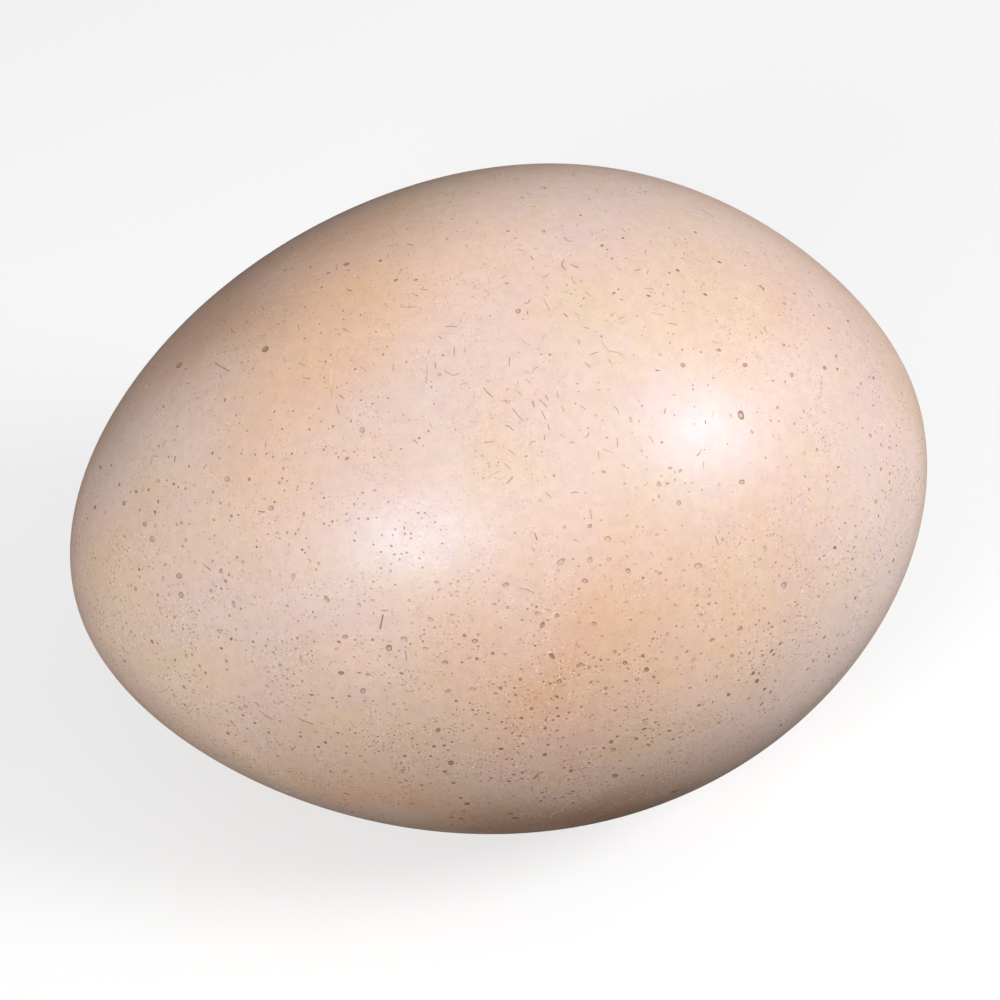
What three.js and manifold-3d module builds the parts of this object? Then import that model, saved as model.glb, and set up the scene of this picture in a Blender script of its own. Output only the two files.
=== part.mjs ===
// Fossil egg lying on its side, at rest on a small flat spot.
//
// One piece of stone: a smooth egg-shaped body, 300 mm long and about 230 mm across, blunter
// towards +X and more pointed towards -X. Millimetres, +Z up. The origin is the middle of the
// flat spot that it rests on, straight below its centre of mass.

import * as THREE from "three";
import { ConvexGeometry } from "three/addons/geometries/ConvexGeometry.js";
import { mergeVertices } from "three/addons/utils/BufferGeometryUtils.js";
import Module from "manifold-3d";

// ---- driving dimensions -------------------------------------------------------------------
const HALF_LENGTH = 150; // mm, half the long axis
const HALF_WIDTH = 114.657; // mm, radius scale of the girth
// Girth along the long axis, as a factor on an ellipse: u is -1 at the pointed end, +1 at the
// blunt end.
const GIRTH = [0.0744, -0.06966, -0.03707, -0.04469]; // u, u^2, u^3, u^4
// The shell isn't quite round: its two sides differ a little towards the ends.
const UNEVEN = [0.01035, -0.03525, -0.0295]; // u^2, u^3, u^4
const UNEVEN_AT = THREE.MathUtils.degToRad(50.7308); // which side swells
// How it lies: the blunt end is raised until the centre of mass is over the flat spot.
const PITCH = THREE.MathUtils.degToRad(6.5);
const CENTRE_OF_MASS = new THREE.Vector3(3.503, -0.02, -0.024); // mm, on the egg's own axes
const FLAT_DEPTH = 0.6; // mm worn off the underside, which leaves a flat about 28 x 22 mm
const DETAIL = 18; // each edge of the starting icosahedron is cut in DETAIL + 1

// ---- the egg's surface, on its own axes (x along the egg) ----------------------------------
// A point of the unit sphere is moved to the shell that it stands for.
function onShell(p) {
  const u = p.x;
  const around = Math.atan2(p.z, p.y);
  const girth =
    1 +
    u * (GIRTH[0] + u * (GIRTH[1] + u * (GIRTH[2] + u * GIRTH[3]))) +
    u * u * (UNEVEN[0] + u * (UNEVEN[1] + u * UNEVEN[2])) * Math.cos(around - UNEVEN_AT);
  return new THREE.Vector3(
    HALF_LENGTH * u,
    HALF_WIDTH * girth * p.y,
    HALF_WIDTH * girth * p.z,
  );
}

// Lays the egg down: its centre of mass goes onto the Z axis and the blunt end tips up.
function lieDown(p) {
  return p.sub(CENTRE_OF_MASS).applyAxisAngle(new THREE.Vector3(0, 1, 0), -PITCH);
}

// ---- body ----------------------------------------------------------------------------------
const sphere = new THREE.IcosahedronGeometry(1, DETAIL);
sphere.deleteAttribute("normal");
sphere.deleteAttribute("uv");
const starts = mergeVertices(sphere, 1e-5).getAttribute("position");
const points = [];
for (let i = 0; i < starts.count; i++) {
  points.push(
    lieDown(onShell(new THREE.Vector3().fromBufferAttribute(starts, i).normalize())),
  );
}
const lowest = Math.min(...points.map((p) => p.z));
for (const p of points) p.z -= lowest + FLAT_DEPTH;
const shell = new ConvexGeometry(points);

// ---- flat spot: everything below z = 0 is worn away ----------------------------------------
const wasm = await Module();
wasm.setup();

function solid(geometry) {
  const g = geometry.clone();
  g.deleteAttribute("normal");
  g.deleteAttribute("uv");
  const merged = mergeVertices(g, 1e-4);
  return new wasm.Manifold(
    new wasm.Mesh({
      numProp: 3,
      vertProperties: new Float32Array(merged.getAttribute("position").array),
      triVerts: new Uint32Array(merged.index.array),
    }),
  );
}

const TALL = 3 * HALF_LENGTH;
const above = new THREE.BoxGeometry(2 * TALL, 2 * TALL, TALL).translate(0, 0, TALL / 2);
const cut = solid(shell).intersect(solid(above)).getMesh();
const positions = new Float32Array(cut.numVert * 3);
for (let i = 0; i < cut.numVert; i++) {
  positions.set(cut.vertProperties.subarray(i * cut.numProp, i * cut.numProp + 3), i * 3);
}
const body = new THREE.BufferGeometry()
  .setAttribute("position", new THREE.BufferAttribute(positions, 3))
  .setIndex(new THREE.BufferAttribute(new Uint32Array(cut.triVerts), 1));
body.computeVertexNormals();

// ---- the part ------------------------------------------------------------------------------
const egg = new THREE.Mesh(
  body,
  new THREE.MeshStandardMaterial({ color: 0xe2c8b6, roughness: 0.42, metalness: 0 }),
);
egg.name = "egg";

const part = new THREE.Group();
part.add(egg);
export default part;
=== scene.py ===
# A fossil egg at rest on its side: the finished shell, a pale floor, soft studio light, one camera.
import math

import bpy
import numpy as np
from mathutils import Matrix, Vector, geometry, kdtree


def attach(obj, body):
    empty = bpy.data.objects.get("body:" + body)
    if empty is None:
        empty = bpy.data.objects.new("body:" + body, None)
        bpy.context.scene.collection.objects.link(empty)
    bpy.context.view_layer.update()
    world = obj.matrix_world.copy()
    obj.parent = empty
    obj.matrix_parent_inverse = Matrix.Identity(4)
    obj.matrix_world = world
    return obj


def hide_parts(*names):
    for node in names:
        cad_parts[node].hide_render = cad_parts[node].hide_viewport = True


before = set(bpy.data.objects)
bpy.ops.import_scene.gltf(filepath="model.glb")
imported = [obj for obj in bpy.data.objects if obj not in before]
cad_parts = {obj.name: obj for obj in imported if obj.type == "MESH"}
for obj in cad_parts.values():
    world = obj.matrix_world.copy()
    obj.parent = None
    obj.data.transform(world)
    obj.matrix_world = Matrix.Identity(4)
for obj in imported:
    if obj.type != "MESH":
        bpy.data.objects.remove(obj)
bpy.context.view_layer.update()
scene = bpy.context.scene

# ---- the shell's shape, as in the frame (metres) --------------------------------------------
HALF_LENGTH = 0.150
HALF_WIDTH = 0.114657
GIRTH = (0.0744, -0.06966, -0.03707, -0.04469)
UNEVEN = (0.01035, -0.03525, -0.0295)
UNEVEN_AT = math.radians(50.7308)
PITCH = math.radians(6.5)
CENTRE = np.array([0.003503, -0.00002, -0.000024])
RISE = 0.113968  # the egg's centre above the floor
FIT = 0.9994  # keeps the smooth skin inside the faceted solid's box

COS, SIN = math.cos(PITCH), math.sin(PITCH)
LAY = np.array([[COS, 0, -SIN], [0, 1, 0], [SIN, 0, COS]])
UP3 = np.array([0.0, 0.0, RISE])
MM = 0.001


def girth(u, around):
    return (
        1
        + u * (GIRTH[0] + u * (GIRTH[1] + u * (GIRTH[2] + u * GIRTH[3])))
        + u * u * (UNEVEN[0] + u * (UNEVEN[1] + u * UNEVEN[2])) * np.cos(around - UNEVEN_AT)
    )


def unit(v):
    return v / np.linalg.norm(v, axis=-1, keepdims=True)


def shell(p):
    """Points of the unit sphere to points of the shell, before the flat spot."""
    g = girth(p[..., 0], np.arctan2(p[..., 2], p[..., 1]))
    x = np.stack([HALF_LENGTH * p[..., 0], HALF_WIDTH * g * p[..., 1], HALF_WIDTH * g * p[..., 2]], -1)
    return ((x - CENTRE) @ LAY.T) * FIT + UP3


def sphere_of(x):
    """Points near the shell to the points of the unit sphere that stand for them."""
    q = (x - UP3) / FIT @ LAY + CENTRE
    around = np.arctan2(q[..., 2], q[..., 1])
    u = np.clip(q[..., 0] / HALF_LENGTH, -1, 1)
    for _ in range(6):
        g = girth(u, around) * HALF_WIDTH
        p = unit(np.stack([q[..., 0] / HALF_LENGTH, q[..., 1] / g, q[..., 2] / g], -1))
        u = p[..., 0]
    return p


def outward(p):
    """The shell's normal at points of the unit sphere."""
    side = np.where(np.abs(p[..., :1]) < 0.9, np.array([1.0, 0, 0]), np.array([0, 1.0, 0]))
    a = unit(np.cross(p, side))
    b = np.cross(p, a)
    e = 1e-4
    da = shell(unit(p + e * a)) - shell(unit(p - e * a))
    db = shell(unit(p + e * b)) - shell(unit(p - e * b))
    n = unit(np.cross(da, db))
    return n * np.sign((n * (shell(p) - UP3)).sum(-1, keepdims=True))


# ---- camera ----------------------------------------------------------------------------------
AZIMUTH, ELEVATION, DISTANCE = -0.187082, math.radians(40.0), 1.3
FOCAL, AIM_X, AIM_Y = 3747.106, 509.514, 502.011  # pixels of a 1000 x 1000 frame
BACK = np.array(
    [
        math.sin(AZIMUTH) * math.cos(ELEVATION),
        -math.cos(AZIMUTH) * math.cos(ELEVATION),
        math.sin(ELEVATION),
    ]
)
RIGHT = np.array([math.cos(AZIMUTH), math.sin(AZIMUTH), 0.0])
ABOVE = np.cross(BACK, RIGHT)
EYE = UP3 + BACK * DISTANCE

camera = bpy.data.objects.new("camera", bpy.data.cameras.new("camera"))
scene.collection.objects.link(camera)
camera.data.sensor_width = 36.0
camera.data.lens = FOCAL * 36.0 / 1000.0
camera.data.shift_x = (500.0 - AIM_X) / 1000.0
camera.data.shift_y = (AIM_Y - 500.0) / 1000.0
camera.data.clip_start, camera.data.clip_end = 0.05, 60.0
camera.data.dof.use_dof = False
camera.location = EYE
camera.rotation_mode = "QUATERNION"
camera.rotation_quaternion = Vector(-BACK).to_track_quat("-Z", "Y")
scene.camera = camera


def outside(x):
    """Above 0 outside the shell, below 0 inside it."""
    q = (x - UP3) / FIT @ LAY + CENTRE
    u = np.clip(q[..., 0] / HALF_LENGTH, -1, 1)
    r = HALF_WIDTH * girth(u, np.arctan2(q[..., 2], q[..., 1]))
    return q[..., 1] ** 2 + q[..., 2] ** 2 - r * r * (1 - (q[..., 0] / HALF_LENGTH) ** 2)


def seen(px, py):
    """Where the line of sight through frame pixels first meets the shell, as unit-sphere points."""
    px, py = np.asarray(px, float), np.asarray(py, float)
    d = unit(
        ((px - AIM_X) / FOCAL)[..., None] * RIGHT - ((py - AIM_Y) / FOCAL)[..., None] * ABOVE - BACK
    )
    steps = np.linspace(DISTANCE - 0.17, DISTANCE + 0.02, 96)
    lo, hi = np.full(px.shape, np.nan), np.full(px.shape, np.nan)
    was = outside(EYE + d * steps[0])
    for s, t in zip(steps[:-1], steps[1:]):
        now = outside(EYE + d * t)
        m = (was > 0) & (now <= 0) & np.isnan(lo)
        lo[m], hi[m] = s, t
        was = now
    for _ in range(36):
        mid = (lo + hi) / 2
        inside = outside(EYE + d * mid[..., None]) <= 0
        hi, lo = np.where(inside, mid, hi), np.where(inside, lo, mid)
    return sphere_of(EYE + d * ((lo + hi) / 2)[..., None])


# ---- slow, smooth randomness over the shell --------------------------------------------------
def waves(seed, size, count=24):
    """A smooth field over space, mean 0 and spread about 1, with features of about size metres."""
    r = np.random.default_rng(seed)
    k = unit(r.normal(size=(count, 3))) * (2 * np.pi / size) * r.uniform(0.6, 1.5, (count, 1))
    ph = r.uniform(0, 2 * np.pi, count)

    def field(x):
        return np.sin(x @ k.T + ph).sum(-1) * math.sqrt(2.0 / count)

    return field


# ---- marks: pits and fine strokes ------------------------------------------------------------
# Each mark is a patch of shell pressed in, listed as: where (frame pixels), half sizes in pixels,
# turn in degrees (0 along the frame's width, growing clockwise), tone (how brown), floor (how
# pale its middle is).
PITS = [
    (518, 311, 2.9, 2.6, 0, 1.0, 0.9), (265, 349, 4.6, 3.0, -50, 0.9, 0.15),
    (179, 365, 4.2, 2.4, -45, 0.8, 0.2), (346, 264, 3.4, 2.0, -30, 0.8, 0.1),
    (362, 430, 3.2, 3.0, 0, 0.7, 0.8), (227, 479, 3.4, 3.0, 0, 0.7, 0.7),
    (271, 508, 3.2, 3.0, 0, 0.7, 0.8), (152, 539, 3.0, 3.6, 0, 0.7, 0.7),
    (179, 576, 3.2, 3.6, 0, 0.8, 0.7), (181, 595, 3.0, 3.6, 0, 0.8, 0.7),
    (220.8, 570.8, 2.2, 2.8, 0, 0.8, 0.5), (225.4, 581.3, 2.0, 2.5, 0, 1.1, 0.8),
    (741, 415, 3.6, 5.2, -25, 1.0, 0.85), (742, 482, 3.2, 3.0, 0, 0.8, 0.9),
    (659, 484.2, 2.3, 3.2, 0, 0.6, 0.6), (667.4, 483.6, 2.6, 1.4, 5, 0.6, 0.2),
    (669.9, 468.2, 2.8, 1.7, -10, 0.6, 0.6), (679, 503, 2.8, 2.8, 0, 0.6, 0.7),
    (608, 539, 3.8, 3.4, -30, 0.55, 0.9), (590, 526, 2.6, 2.4, 0, 0.9, 0.8),
    (590, 560, 3.4, 3.4, 0, 0.65, 0.85), (585, 581, 3.4, 2.8, 15, 0.95, 0.85),
    (628, 571, 3.0, 2.8, 0, 0.9, 0.85), (561, 562, 6.0, 3.2, -30, 0.55, 0.8),
    (643, 578, 1.8, 1.8, 0, 0.9, 0.2), (698, 566, 4.6, 3.6, 0, 0.6, 0.8),
    (784, 585, 3.2, 3.2, 0, 0.8, 0.8), (834.9, 547.7, 2.7, 1.7, -35, 1.3, 0.1),
    (838.3, 467.3, 2.5, 1.2, -30, 0.9, 0.2), (791.9, 374.9, 2.0, 2.7, -15, 0.9, 0.6),
    (745, 365, 2.8, 2.4, 0, 0.9, 0.5), (683, 365, 2.8, 2.6, 0, 0.8, 0.6),
    (719, 350, 3.2, 1.8, 15, 0.8, 0.2), (824.6, 367.8, 2.0, 2.7, -5, 1.0, 0.4),
    (783.8, 344.8, 1.9, 1.6, 20, 0.9, 0.5), (612.2, 258.5, 3.2, 1.2, 27, 1.1, 0.1),
    (231.2, 639, 1.6, 2.1, 0, 1.3, 0.1), (221.5, 648.4, 2.3, 1.3, 30, 1.3, 0.1),
    (226.4, 661, 2.6, 1.7, 45, 0.9, 0.8), (404, 639.5, 4.6, 3.0, 8, 0.5, 0.6),
    (389, 648, 3.6, 3.2, 0, 1.0, 0.8), (401.5, 673.5, 2.8, 1.8, 45, 0.95, 0.3),
    (345, 637, 3.2, 2.6, 0, 0.7, 0.6), (445, 662.7, 4.0, 2.3, -5, 0.75, 0.5),
    (474.7, 641.1, 3.9, 2.4, -18, 0.9, 0.75), (492.7, 653.4, 2.4, 2.0, -15, 1.0, 0.4),
    (506, 585, 3.9, 3.0, 0, 0.6, 0.6), (363, 691, 3.4, 2.8, 0, 0.8, 0.8),
    (451, 763, 3.8, 2.6, 0, 1.0, 0.3), (467.2, 803.8, 3.0, 1.9, 0, 1.2, 0.2),
    (500.8, 749, 2.8, 1.5, 5, 1.5, 0.1), (152, 641.7, 1.5, 2.9, -35, 1.0, 0.2),
    (184, 686.6, 1.4, 2.8, -40, 0.8, 0.4), (438.1, 730.6, 3.0, 2.4, 0, 0.95, 0.35),
    (368, 675, 2.8, 2.2, 0, 0.7, 0.5), (646.7, 669.6, 2.9, 2.4, -25, 1.2, 0.4),
    (625, 663, 2.6, 2.5, 0, 1.1, 0.7), (642.8, 656, 2.2, 2.2, 0, 1.0, 0.5),
    (637, 679.6, 2.5, 2.4, 0, 0.8, 0.9), (605.6, 688.3, 2.2, 2.0, -20, 1.0, 0.6),
    (579.4, 665.3, 4.6, 1.9, -32, 0.75, 0.5), (557, 616, 2.6, 2.6, 0, 0.95, 0.85),
    (594, 624, 3.0, 2.6, 0, 0.8, 0.85), (756.9, 681, 2.9, 2.0, -40, 1.5, 0.1),
    (753.2, 673.2, 2.8, 1.6, -50, 1.3, 0.25), (764.6, 689, 2.6, 1.5, -45, 1.3, 0.2),
    (768.8, 685.6, 1.8, 0.9, -50, 1.3, 0.1), (728.7, 694.8, 2.7, 1.5, -35, 1.3, 0.3),
    (771.3, 651.2, 3.0, 1.2, -48, 1.3, 0.1), (780.5, 643.6, 3.2, 1.1, -48, 1.3, 0.1),
    (773.8, 654.5, 2.2, 1.2, -45, 1.1, 0.1), (740.1, 628.6, 3.4, 1.9, -52, 0.8, 0.5),
    (712, 640, 3.3, 1.8, -25, 0.8, 0.2), (732, 655.5, 2.6, 2.0, -45, 0.85, 0.4),
    (544.7, 754.8, 2.7, 1.7, -25, 1.3, 0.2), (611.2, 742, 2.8, 1.7, -35, 1.3, 0.5),
    (570.8, 770.6, 3.6, 1.6, -40, 1.1, 0.3), (615, 776, 3.6, 2.2, 0, 0.9, 0.3),
    (674, 792, 3.4, 1.8, -10, 0.9, 0.3), (855.3, 598, 1.1, 2.4, 25, 1.0, 0.1),
    (824.3, 637.4, 2.4, 0.9, -50, 1.2, 0.1), (829, 656.3, 2.8, 0.9, -55, 1.1, 0.1),
    (626, 603, 2.8, 2.5, 0, 0.4, 0.9), (641.6, 613, 2.4, 2.2, 0, 0.4, 0.7), (659, 619, 2.0, 2.6, 0, 0.7, 0.8),
    (658.8, 624.5, 2.2, 1.8, 0, 0.5, 0.2), (700, 615, 2.1, 2.8, 0, 0.55, 0.8), (709, 644, 2.2, 1.5, -20, 0.8, 0.3),
    (667.3, 634, 2.0, 2.4, 0, 0.7, 0.9), (577, 646.4, 2.8, 2.1, 20, 0.5, 0.9), (585.5, 653, 1.9, 1.4, -30, 0.7, 0.3),
    (593.7, 657.6, 1.5, 2.0, 10, 0.7, 0.2), (600.8, 660, 1.4, 2.0, 0, 1.0, 0.1), (608, 659.5, 1.2, 1.8, 0, 1.0, 0.1),
    (612, 658.5, 1.1, 1.7, 0, 0.8, 0.1), (614.8, 652, 2.0, 2.3, 0, 0.95, 0.9), (619, 654.6, 2.1, 1.5, -25, 0.7, 0.4),
    (624.5, 650.7, 1.6, 2.1, 0, 0.8, 0.8), (634.8, 650.3, 1.3, 2.0, 0, 0.7, 0.3), (642.4, 661, 3.0, 1.7, 5, 0.8, 0.5),
    (648, 661.7, 1.0, 1.9, 0, 0.7, 0.1), (628, 669, 2.8, 1.5, 10, 0.6, 0.4), (653.7, 677, 2.3, 1.9, -20, 0.9, 0.4),
    (658, 683, 2.0, 1.4, 10, 0.8, 0.4), (588.8, 668, 2.1, 2.1, 0, 0.95, 0.8), (602.3, 670.4, 2.0, 1.3, 0, 0.5, 0.2),
    (564.6, 678.8, 2.0, 1.0, 0, 0.8, 0.1), (606, 693.9, 2.3, 1.5, -45, 0.9, 0.6), (612.9, 687, 1.6, 1.0, -10, 0.7, 0.1),
    (573.3, 692, 1.6, 1.0, -15, 0.7, 0.1), (562, 698.2, 1.6, 1.2, 0, 0.8, 0.2), (642.7, 701.3, 1.0, 1.4, 0, 0.8, 0.1),
    (637.2, 707.4, 1.3, 1.8, 20, 0.6, 0.2), (626, 707.4, 2.0, 1.4, 0, 0.7, 0.3), (615, 710.5, 2.2, 1.3, -10, 0.9, 0.4),
    (581.4, 707, 2.2, 1.5, -30, 0.7, 0.4), (569, 712.5, 1.9, 1.2, -20, 1.1, 0.1), (650.8, 709.9, 1.8, 1.1, -10, 1.1, 0.1),
    (566.6, 718.7, 1.6, 1.0, 0, 0.8, 0.1), (585.5, 716.8, 1.3, 2.4, 25, 0.5, 0.4), (620.2, 726.7, 1.2, 0.8, 0, 0.8, 0.1),
    (643.9, 720.2, 1.6, 1.0, -35, 1.0, 0.1), (655.6, 722.4, 1.8, 1.1, 5, 0.8, 0.1), (592, 730.6, 1.8, 0.9, -10, 1.0, 0.1),
    (643.9, 729.4, 2.8, 1.3, -30, 1.1, 0.3), (617.3, 736.5, 2.2, 1.2, -40, 1.2, 0.2), (636.3, 738.8, 2.6, 1.2, -10, 1.4, 0.1),
    (603.6, 748.2, 2.2, 1.0, 0, 1.2, 0.1), (631.4, 749, 2.3, 1.2, -55, 1.0, 0.2), (669.2, 731, 2.6, 1.1, -15, 1.3, 0.1),
    (673.8, 723.8, 1.4, 0.8, -25, 1.1, 0.1), (673, 739.3, 2.0, 1.1, -25, 1.1, 0.1), (679.6, 737.6, 1.6, 0.9, -25, 1.0, 0.1),
    (587, 749.5, 2.0, 1.1, -40, 0.9, 0.1), (563, 737.8, 2.0, 1.0, -25, 1.0, 0.1), (690, 688, 2.0, 1.1, -25, 1.0, 0.3),
    (676.6, 658.2, 2.5, 2.1, 0, 0.6, 0.9), (693.7, 659.7, 2.2, 1.6, -20, 0.5, 0.3), (681.7, 646.6, 1.9, 0.9, -35, 0.7, 0.1),
    (662, 652.2, 1.6, 1.0, -20, 0.7, 0.1), (676.3, 638.3, 1.7, 0.9, 15, 0.6, 0.1), (712.8, 702, 0.9, 1.8, 5, 0.8, 0.1),
    (185.8, 539.9, 1.7, 2.3, -10, 0.8, 0.8), (182.6, 546.3, 1.4, 1.8, 0, 0.7, 0.6), (214.4, 535.6, 0.9, 1.6, 0, 0.9, 0.1),
    (165.2, 564.7, 2.1, 2.4, 0, 0.35, 0.7), (228.7, 574.9, 1.3, 2.0, 10, 0.9, 0.3), (242.6, 562, 1.7, 2.4, 0, 0.75, 0.9),
    (237, 557.3, 1.1, 2.0, -15, 0.9, 0.1), (221.3, 588.7, 1.2, 2.0, -30, 0.9, 0.1), (212.5, 561, 1.1, 1.8, 20, 0.7, 0.1),
    (229, 563, 0.9, 1.8, 0, 0.7, 0.1), (139.2, 569.6, 1.2, 2.6, -25, 1.0, 0.2), (163.2, 577, 1.2, 1.9, -15, 0.6, 0.2),
    (237.4, 597.9, 2.1, 2.1, 0, 0.35, 0.9), (229.5, 615.7, 1.4, 2.3, -40, 0.8, 0.4), (199, 610.6, 0.9, 1.9, -10, 0.8, 0.1),
    (174.2, 617.8, 1.2, 2.3, -35, 0.7, 0.3), (235.6, 640, 0.9, 1.8, -20, 0.7, 0.1), (253, 641.7, 1.2, 1.9, -40, 1.0, 0.1),
    (236, 629.5, 1.2, 1.9, -30, 0.7, 0.2), (265.7, 645.8, 1.3, 2.0, 10, 0.9, 0.3), (273.4, 652.4, 1.1, 1.7, -20, 0.8, 0.1),
    (280, 665.2, 1.6, 2.5, -35, 0.9, 0.7), (273.4, 667.2, 1.1, 1.8, -35, 0.9, 0.1), (268.5, 672, 1.5, 1.0, 20, 0.8, 0.1),
    (287, 606, 1.7, 2.4, -40, 0.6, 0.5), (175, 660, 1.1, 2.1, -35, 0.8, 0.1), (186.3, 655, 1.2, 2.2, -35, 0.6, 0.2),
    (199.7, 666.2, 1.4, 2.5, -38, 0.8, 0.2), (205.5, 672.9, 1.2, 2.2, -35, 1.0, 0.1), (252.4, 604.5, 1.5, 1.0, 0, 0.6, 0.1),
    (382, 535.3, 1.2, 1.9, 0, 0.9, 0.2), (404.2, 527.9, 1.1, 2.0, 0, 0.7, 0.2), (442.2, 543.7, 1.6, 1.0, 0, 0.6, 0.1),
    (394.3, 554.4, 1.8, 0.9, 0, 0.7, 0.1), (391, 564, 1.6, 0.9, 0, 0.6, 0.1), (373.4, 582, 2.0, 1.0, -10, 0.6, 0.1),
    (362.4, 492.9, 2.1, 1.1, 0, 0.6, 0.1), (374.4, 490.4, 2.6, 1.8, 0, 0.45, 0.3), (358.6, 518.7, 1.1, 1.9, 0, 0.9, 0.1),
    (368, 519, 1.1, 2.8, 5, 0.9, 0.1), (369.3, 513.6, 2.4, 0.9, -5, 0.7, 0.1), (332.2, 521.5, 1.4, 1.9, 15, 0.9, 0.3),
    (409, 600.6, 2.1, 1.9, 0, 0.6, 0.9), (436.6, 582.4, 3.1, 1.9, 10, 0.5, 0.8), (450.4, 584, 1.6, 1.0, -40, 0.8, 0.1),
    (438.7, 589.6, 2.7, 0.9, -15, 0.6, 0.1), (451.4, 615, 2.2, 1.8, 0, 0.7, 0.8), (468, 604, 1.7, 0.9, 0, 0.6, 0.1),
    (372.3, 600.3, 2.8, 1.3, 0, 0.45, 0.1), (707.9, 385, 0.8, 1.7, 0, 0.7, 0.1), (674, 395, 2.6, 0.8, 0, 0.5, 0.1),
    (630.5, 419.4, 2.1, 3.1, -15, 0.45, 0.9), (639, 421, 1.0, 2.5, 5, 0.5, 0.1), (752, 432, 1.6, 2.4, -35, 0.6, 0.7),
    (785.2, 381.8, 1.0, 1.8, 15, 0.7, 0.1), (761.9, 413, 1.6, 1.0, 0, 0.5, 0.1), (694.3, 424, 0.9, 1.8, 0, 0.5, 0.1),
    (727.4, 444, 0.8, 1.5, -10, 0.7, 0.1), (646.9, 457.4, 0.9, 1.6, 0, 0.7, 0.1), (692, 483, 1.5, 0.9, 0, 0.6, 0.1),
    (652.9, 500.2, 1.0, 1.6, 20, 0.7, 0.1), (701.9, 490, 1.0, 1.8, 20, 0.5, 0.1), (719.2, 485, 2.1, 2.0, 0, 0.3, 0.9),
    (623.3, 466, 2.2, 1.8, 30, 0.5, 0.8), (624.3, 484, 2.7, 1.2, -35, 0.6, 0.4), (636.3, 488.3, 2.1, 1.8, 0, 0.3, 0.6),
    (817.2, 449.7, 1.2, 2.1, 10, 0.8, 0.2), (804.8, 453.3, 1.8, 2.7, 0, 0.4, 0.9), (786.6, 456.8, 1.1, 2.1, 15, 0.5, 0.3),
    (865, 467.6, 1.9, 1.7, 0, 0.45, 0.9), (805, 476.5, 1.2, 2.2, -10, 0.7, 0.2), (826.7, 476, 1.3, 1.9, 15, 0.6, 0.2),
    (827.8, 489.5, 1.0, 1.8, 0, 0.6, 0.1), (809, 489.3, 1.6, 2.7, 10, 0.55, 0.2), (880.8, 469, 1.0, 2.3, 5, 0.9, 0.1),
    (889.8, 473.7, 1.0, 2.1, 10, 0.9, 0.1), (889.3, 482, 0.9, 2.0, 5, 1.0, 0.1), (890.8, 490.2, 0.9, 1.8, 10, 0.7, 0.1),
    (882.5, 490.8, 0.9, 1.7, -10, 0.7, 0.1), (889.5, 447.7, 1.1, 2.5, -5, 0.7, 0.2), (896.4, 445.6, 0.9, 2.1, 10, 0.8, 0.1),
    (881.3, 445, 1.0, 2.1, 5, 0.7, 0.1), (775, 509, 2.1, 1.2, 0, 0.35, 0.2), (791.3, 503.5, 0.8, 1.6, 5, 0.7, 0.1),
    (875.7, 501.7, 1.6, 2.4, 15, 0.8, 0.7), (878.6, 516, 0.9, 2.0, 5, 1.0, 0.1), (845.1, 523.2, 2.3, 0.9, -15, 1.1, 0.1),
    (839.5, 528.6, 1.7, 1.0, -40, 1.0, 0.1), (855.3, 526, 1.1, 1.8, 40, 0.7, 0.2), (773.2, 534.9, 2.1, 2.0, 0, 0.5, 0.9),
    (856, 536.7, 0.9, 1.6, 0, 0.9, 0.1), (866.5, 538, 0.9, 1.6, 0, 0.6, 0.1), (812.8, 541.3, 1.6, 1.0, 0, 0.5, 0.1),
    (848, 551.5, 1.0, 1.5, 0, 1.0, 0.1), (823.9, 555.8, 1.7, 1.1, -40, 0.9, 0.1), (819.4, 559, 1.5, 1.9, 20, 0.7, 0.3),
    (852.2, 559.2, 0.9, 2.1, 20, 0.9, 0.1), (796, 561.4, 1.8, 0.9, 10, 0.8, 0.1), (790, 568.8, 1.9, 1.1, -10, 0.7, 0.1),
    (779.3, 576.2, 1.7, 1.9, 0, 0.65, 0.7), (756, 577.6, 1.8, 1.3, 0, 0.4, 0.2), (812.8, 578.3, 2.3, 2.2, 0, 0.45, 0.8),
    (805.8, 569.6, 2.0, 1.4, -20, 0.6, 0.4), (855.3, 569.6, 1.1, 1.8, -15, 1.0, 0.1), (827.2, 583.9, 1.6, 1.0, -20, 0.8, 0.1),
    (762.4, 595.6, 1.5, 1.0, 15, 0.7, 0.1), (818.4, 596.6, 2.1, 1.3, -40, 0.7, 0.3), (889.5, 571.6, 1.1, 2.2, 25, 0.8, 0.1),
    (887, 565.5, 1.1, 1.8, 15, 0.6, 0.1), (896.6, 545.6, 0.9, 2.1, 15, 0.8, 0.1),
]
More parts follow.
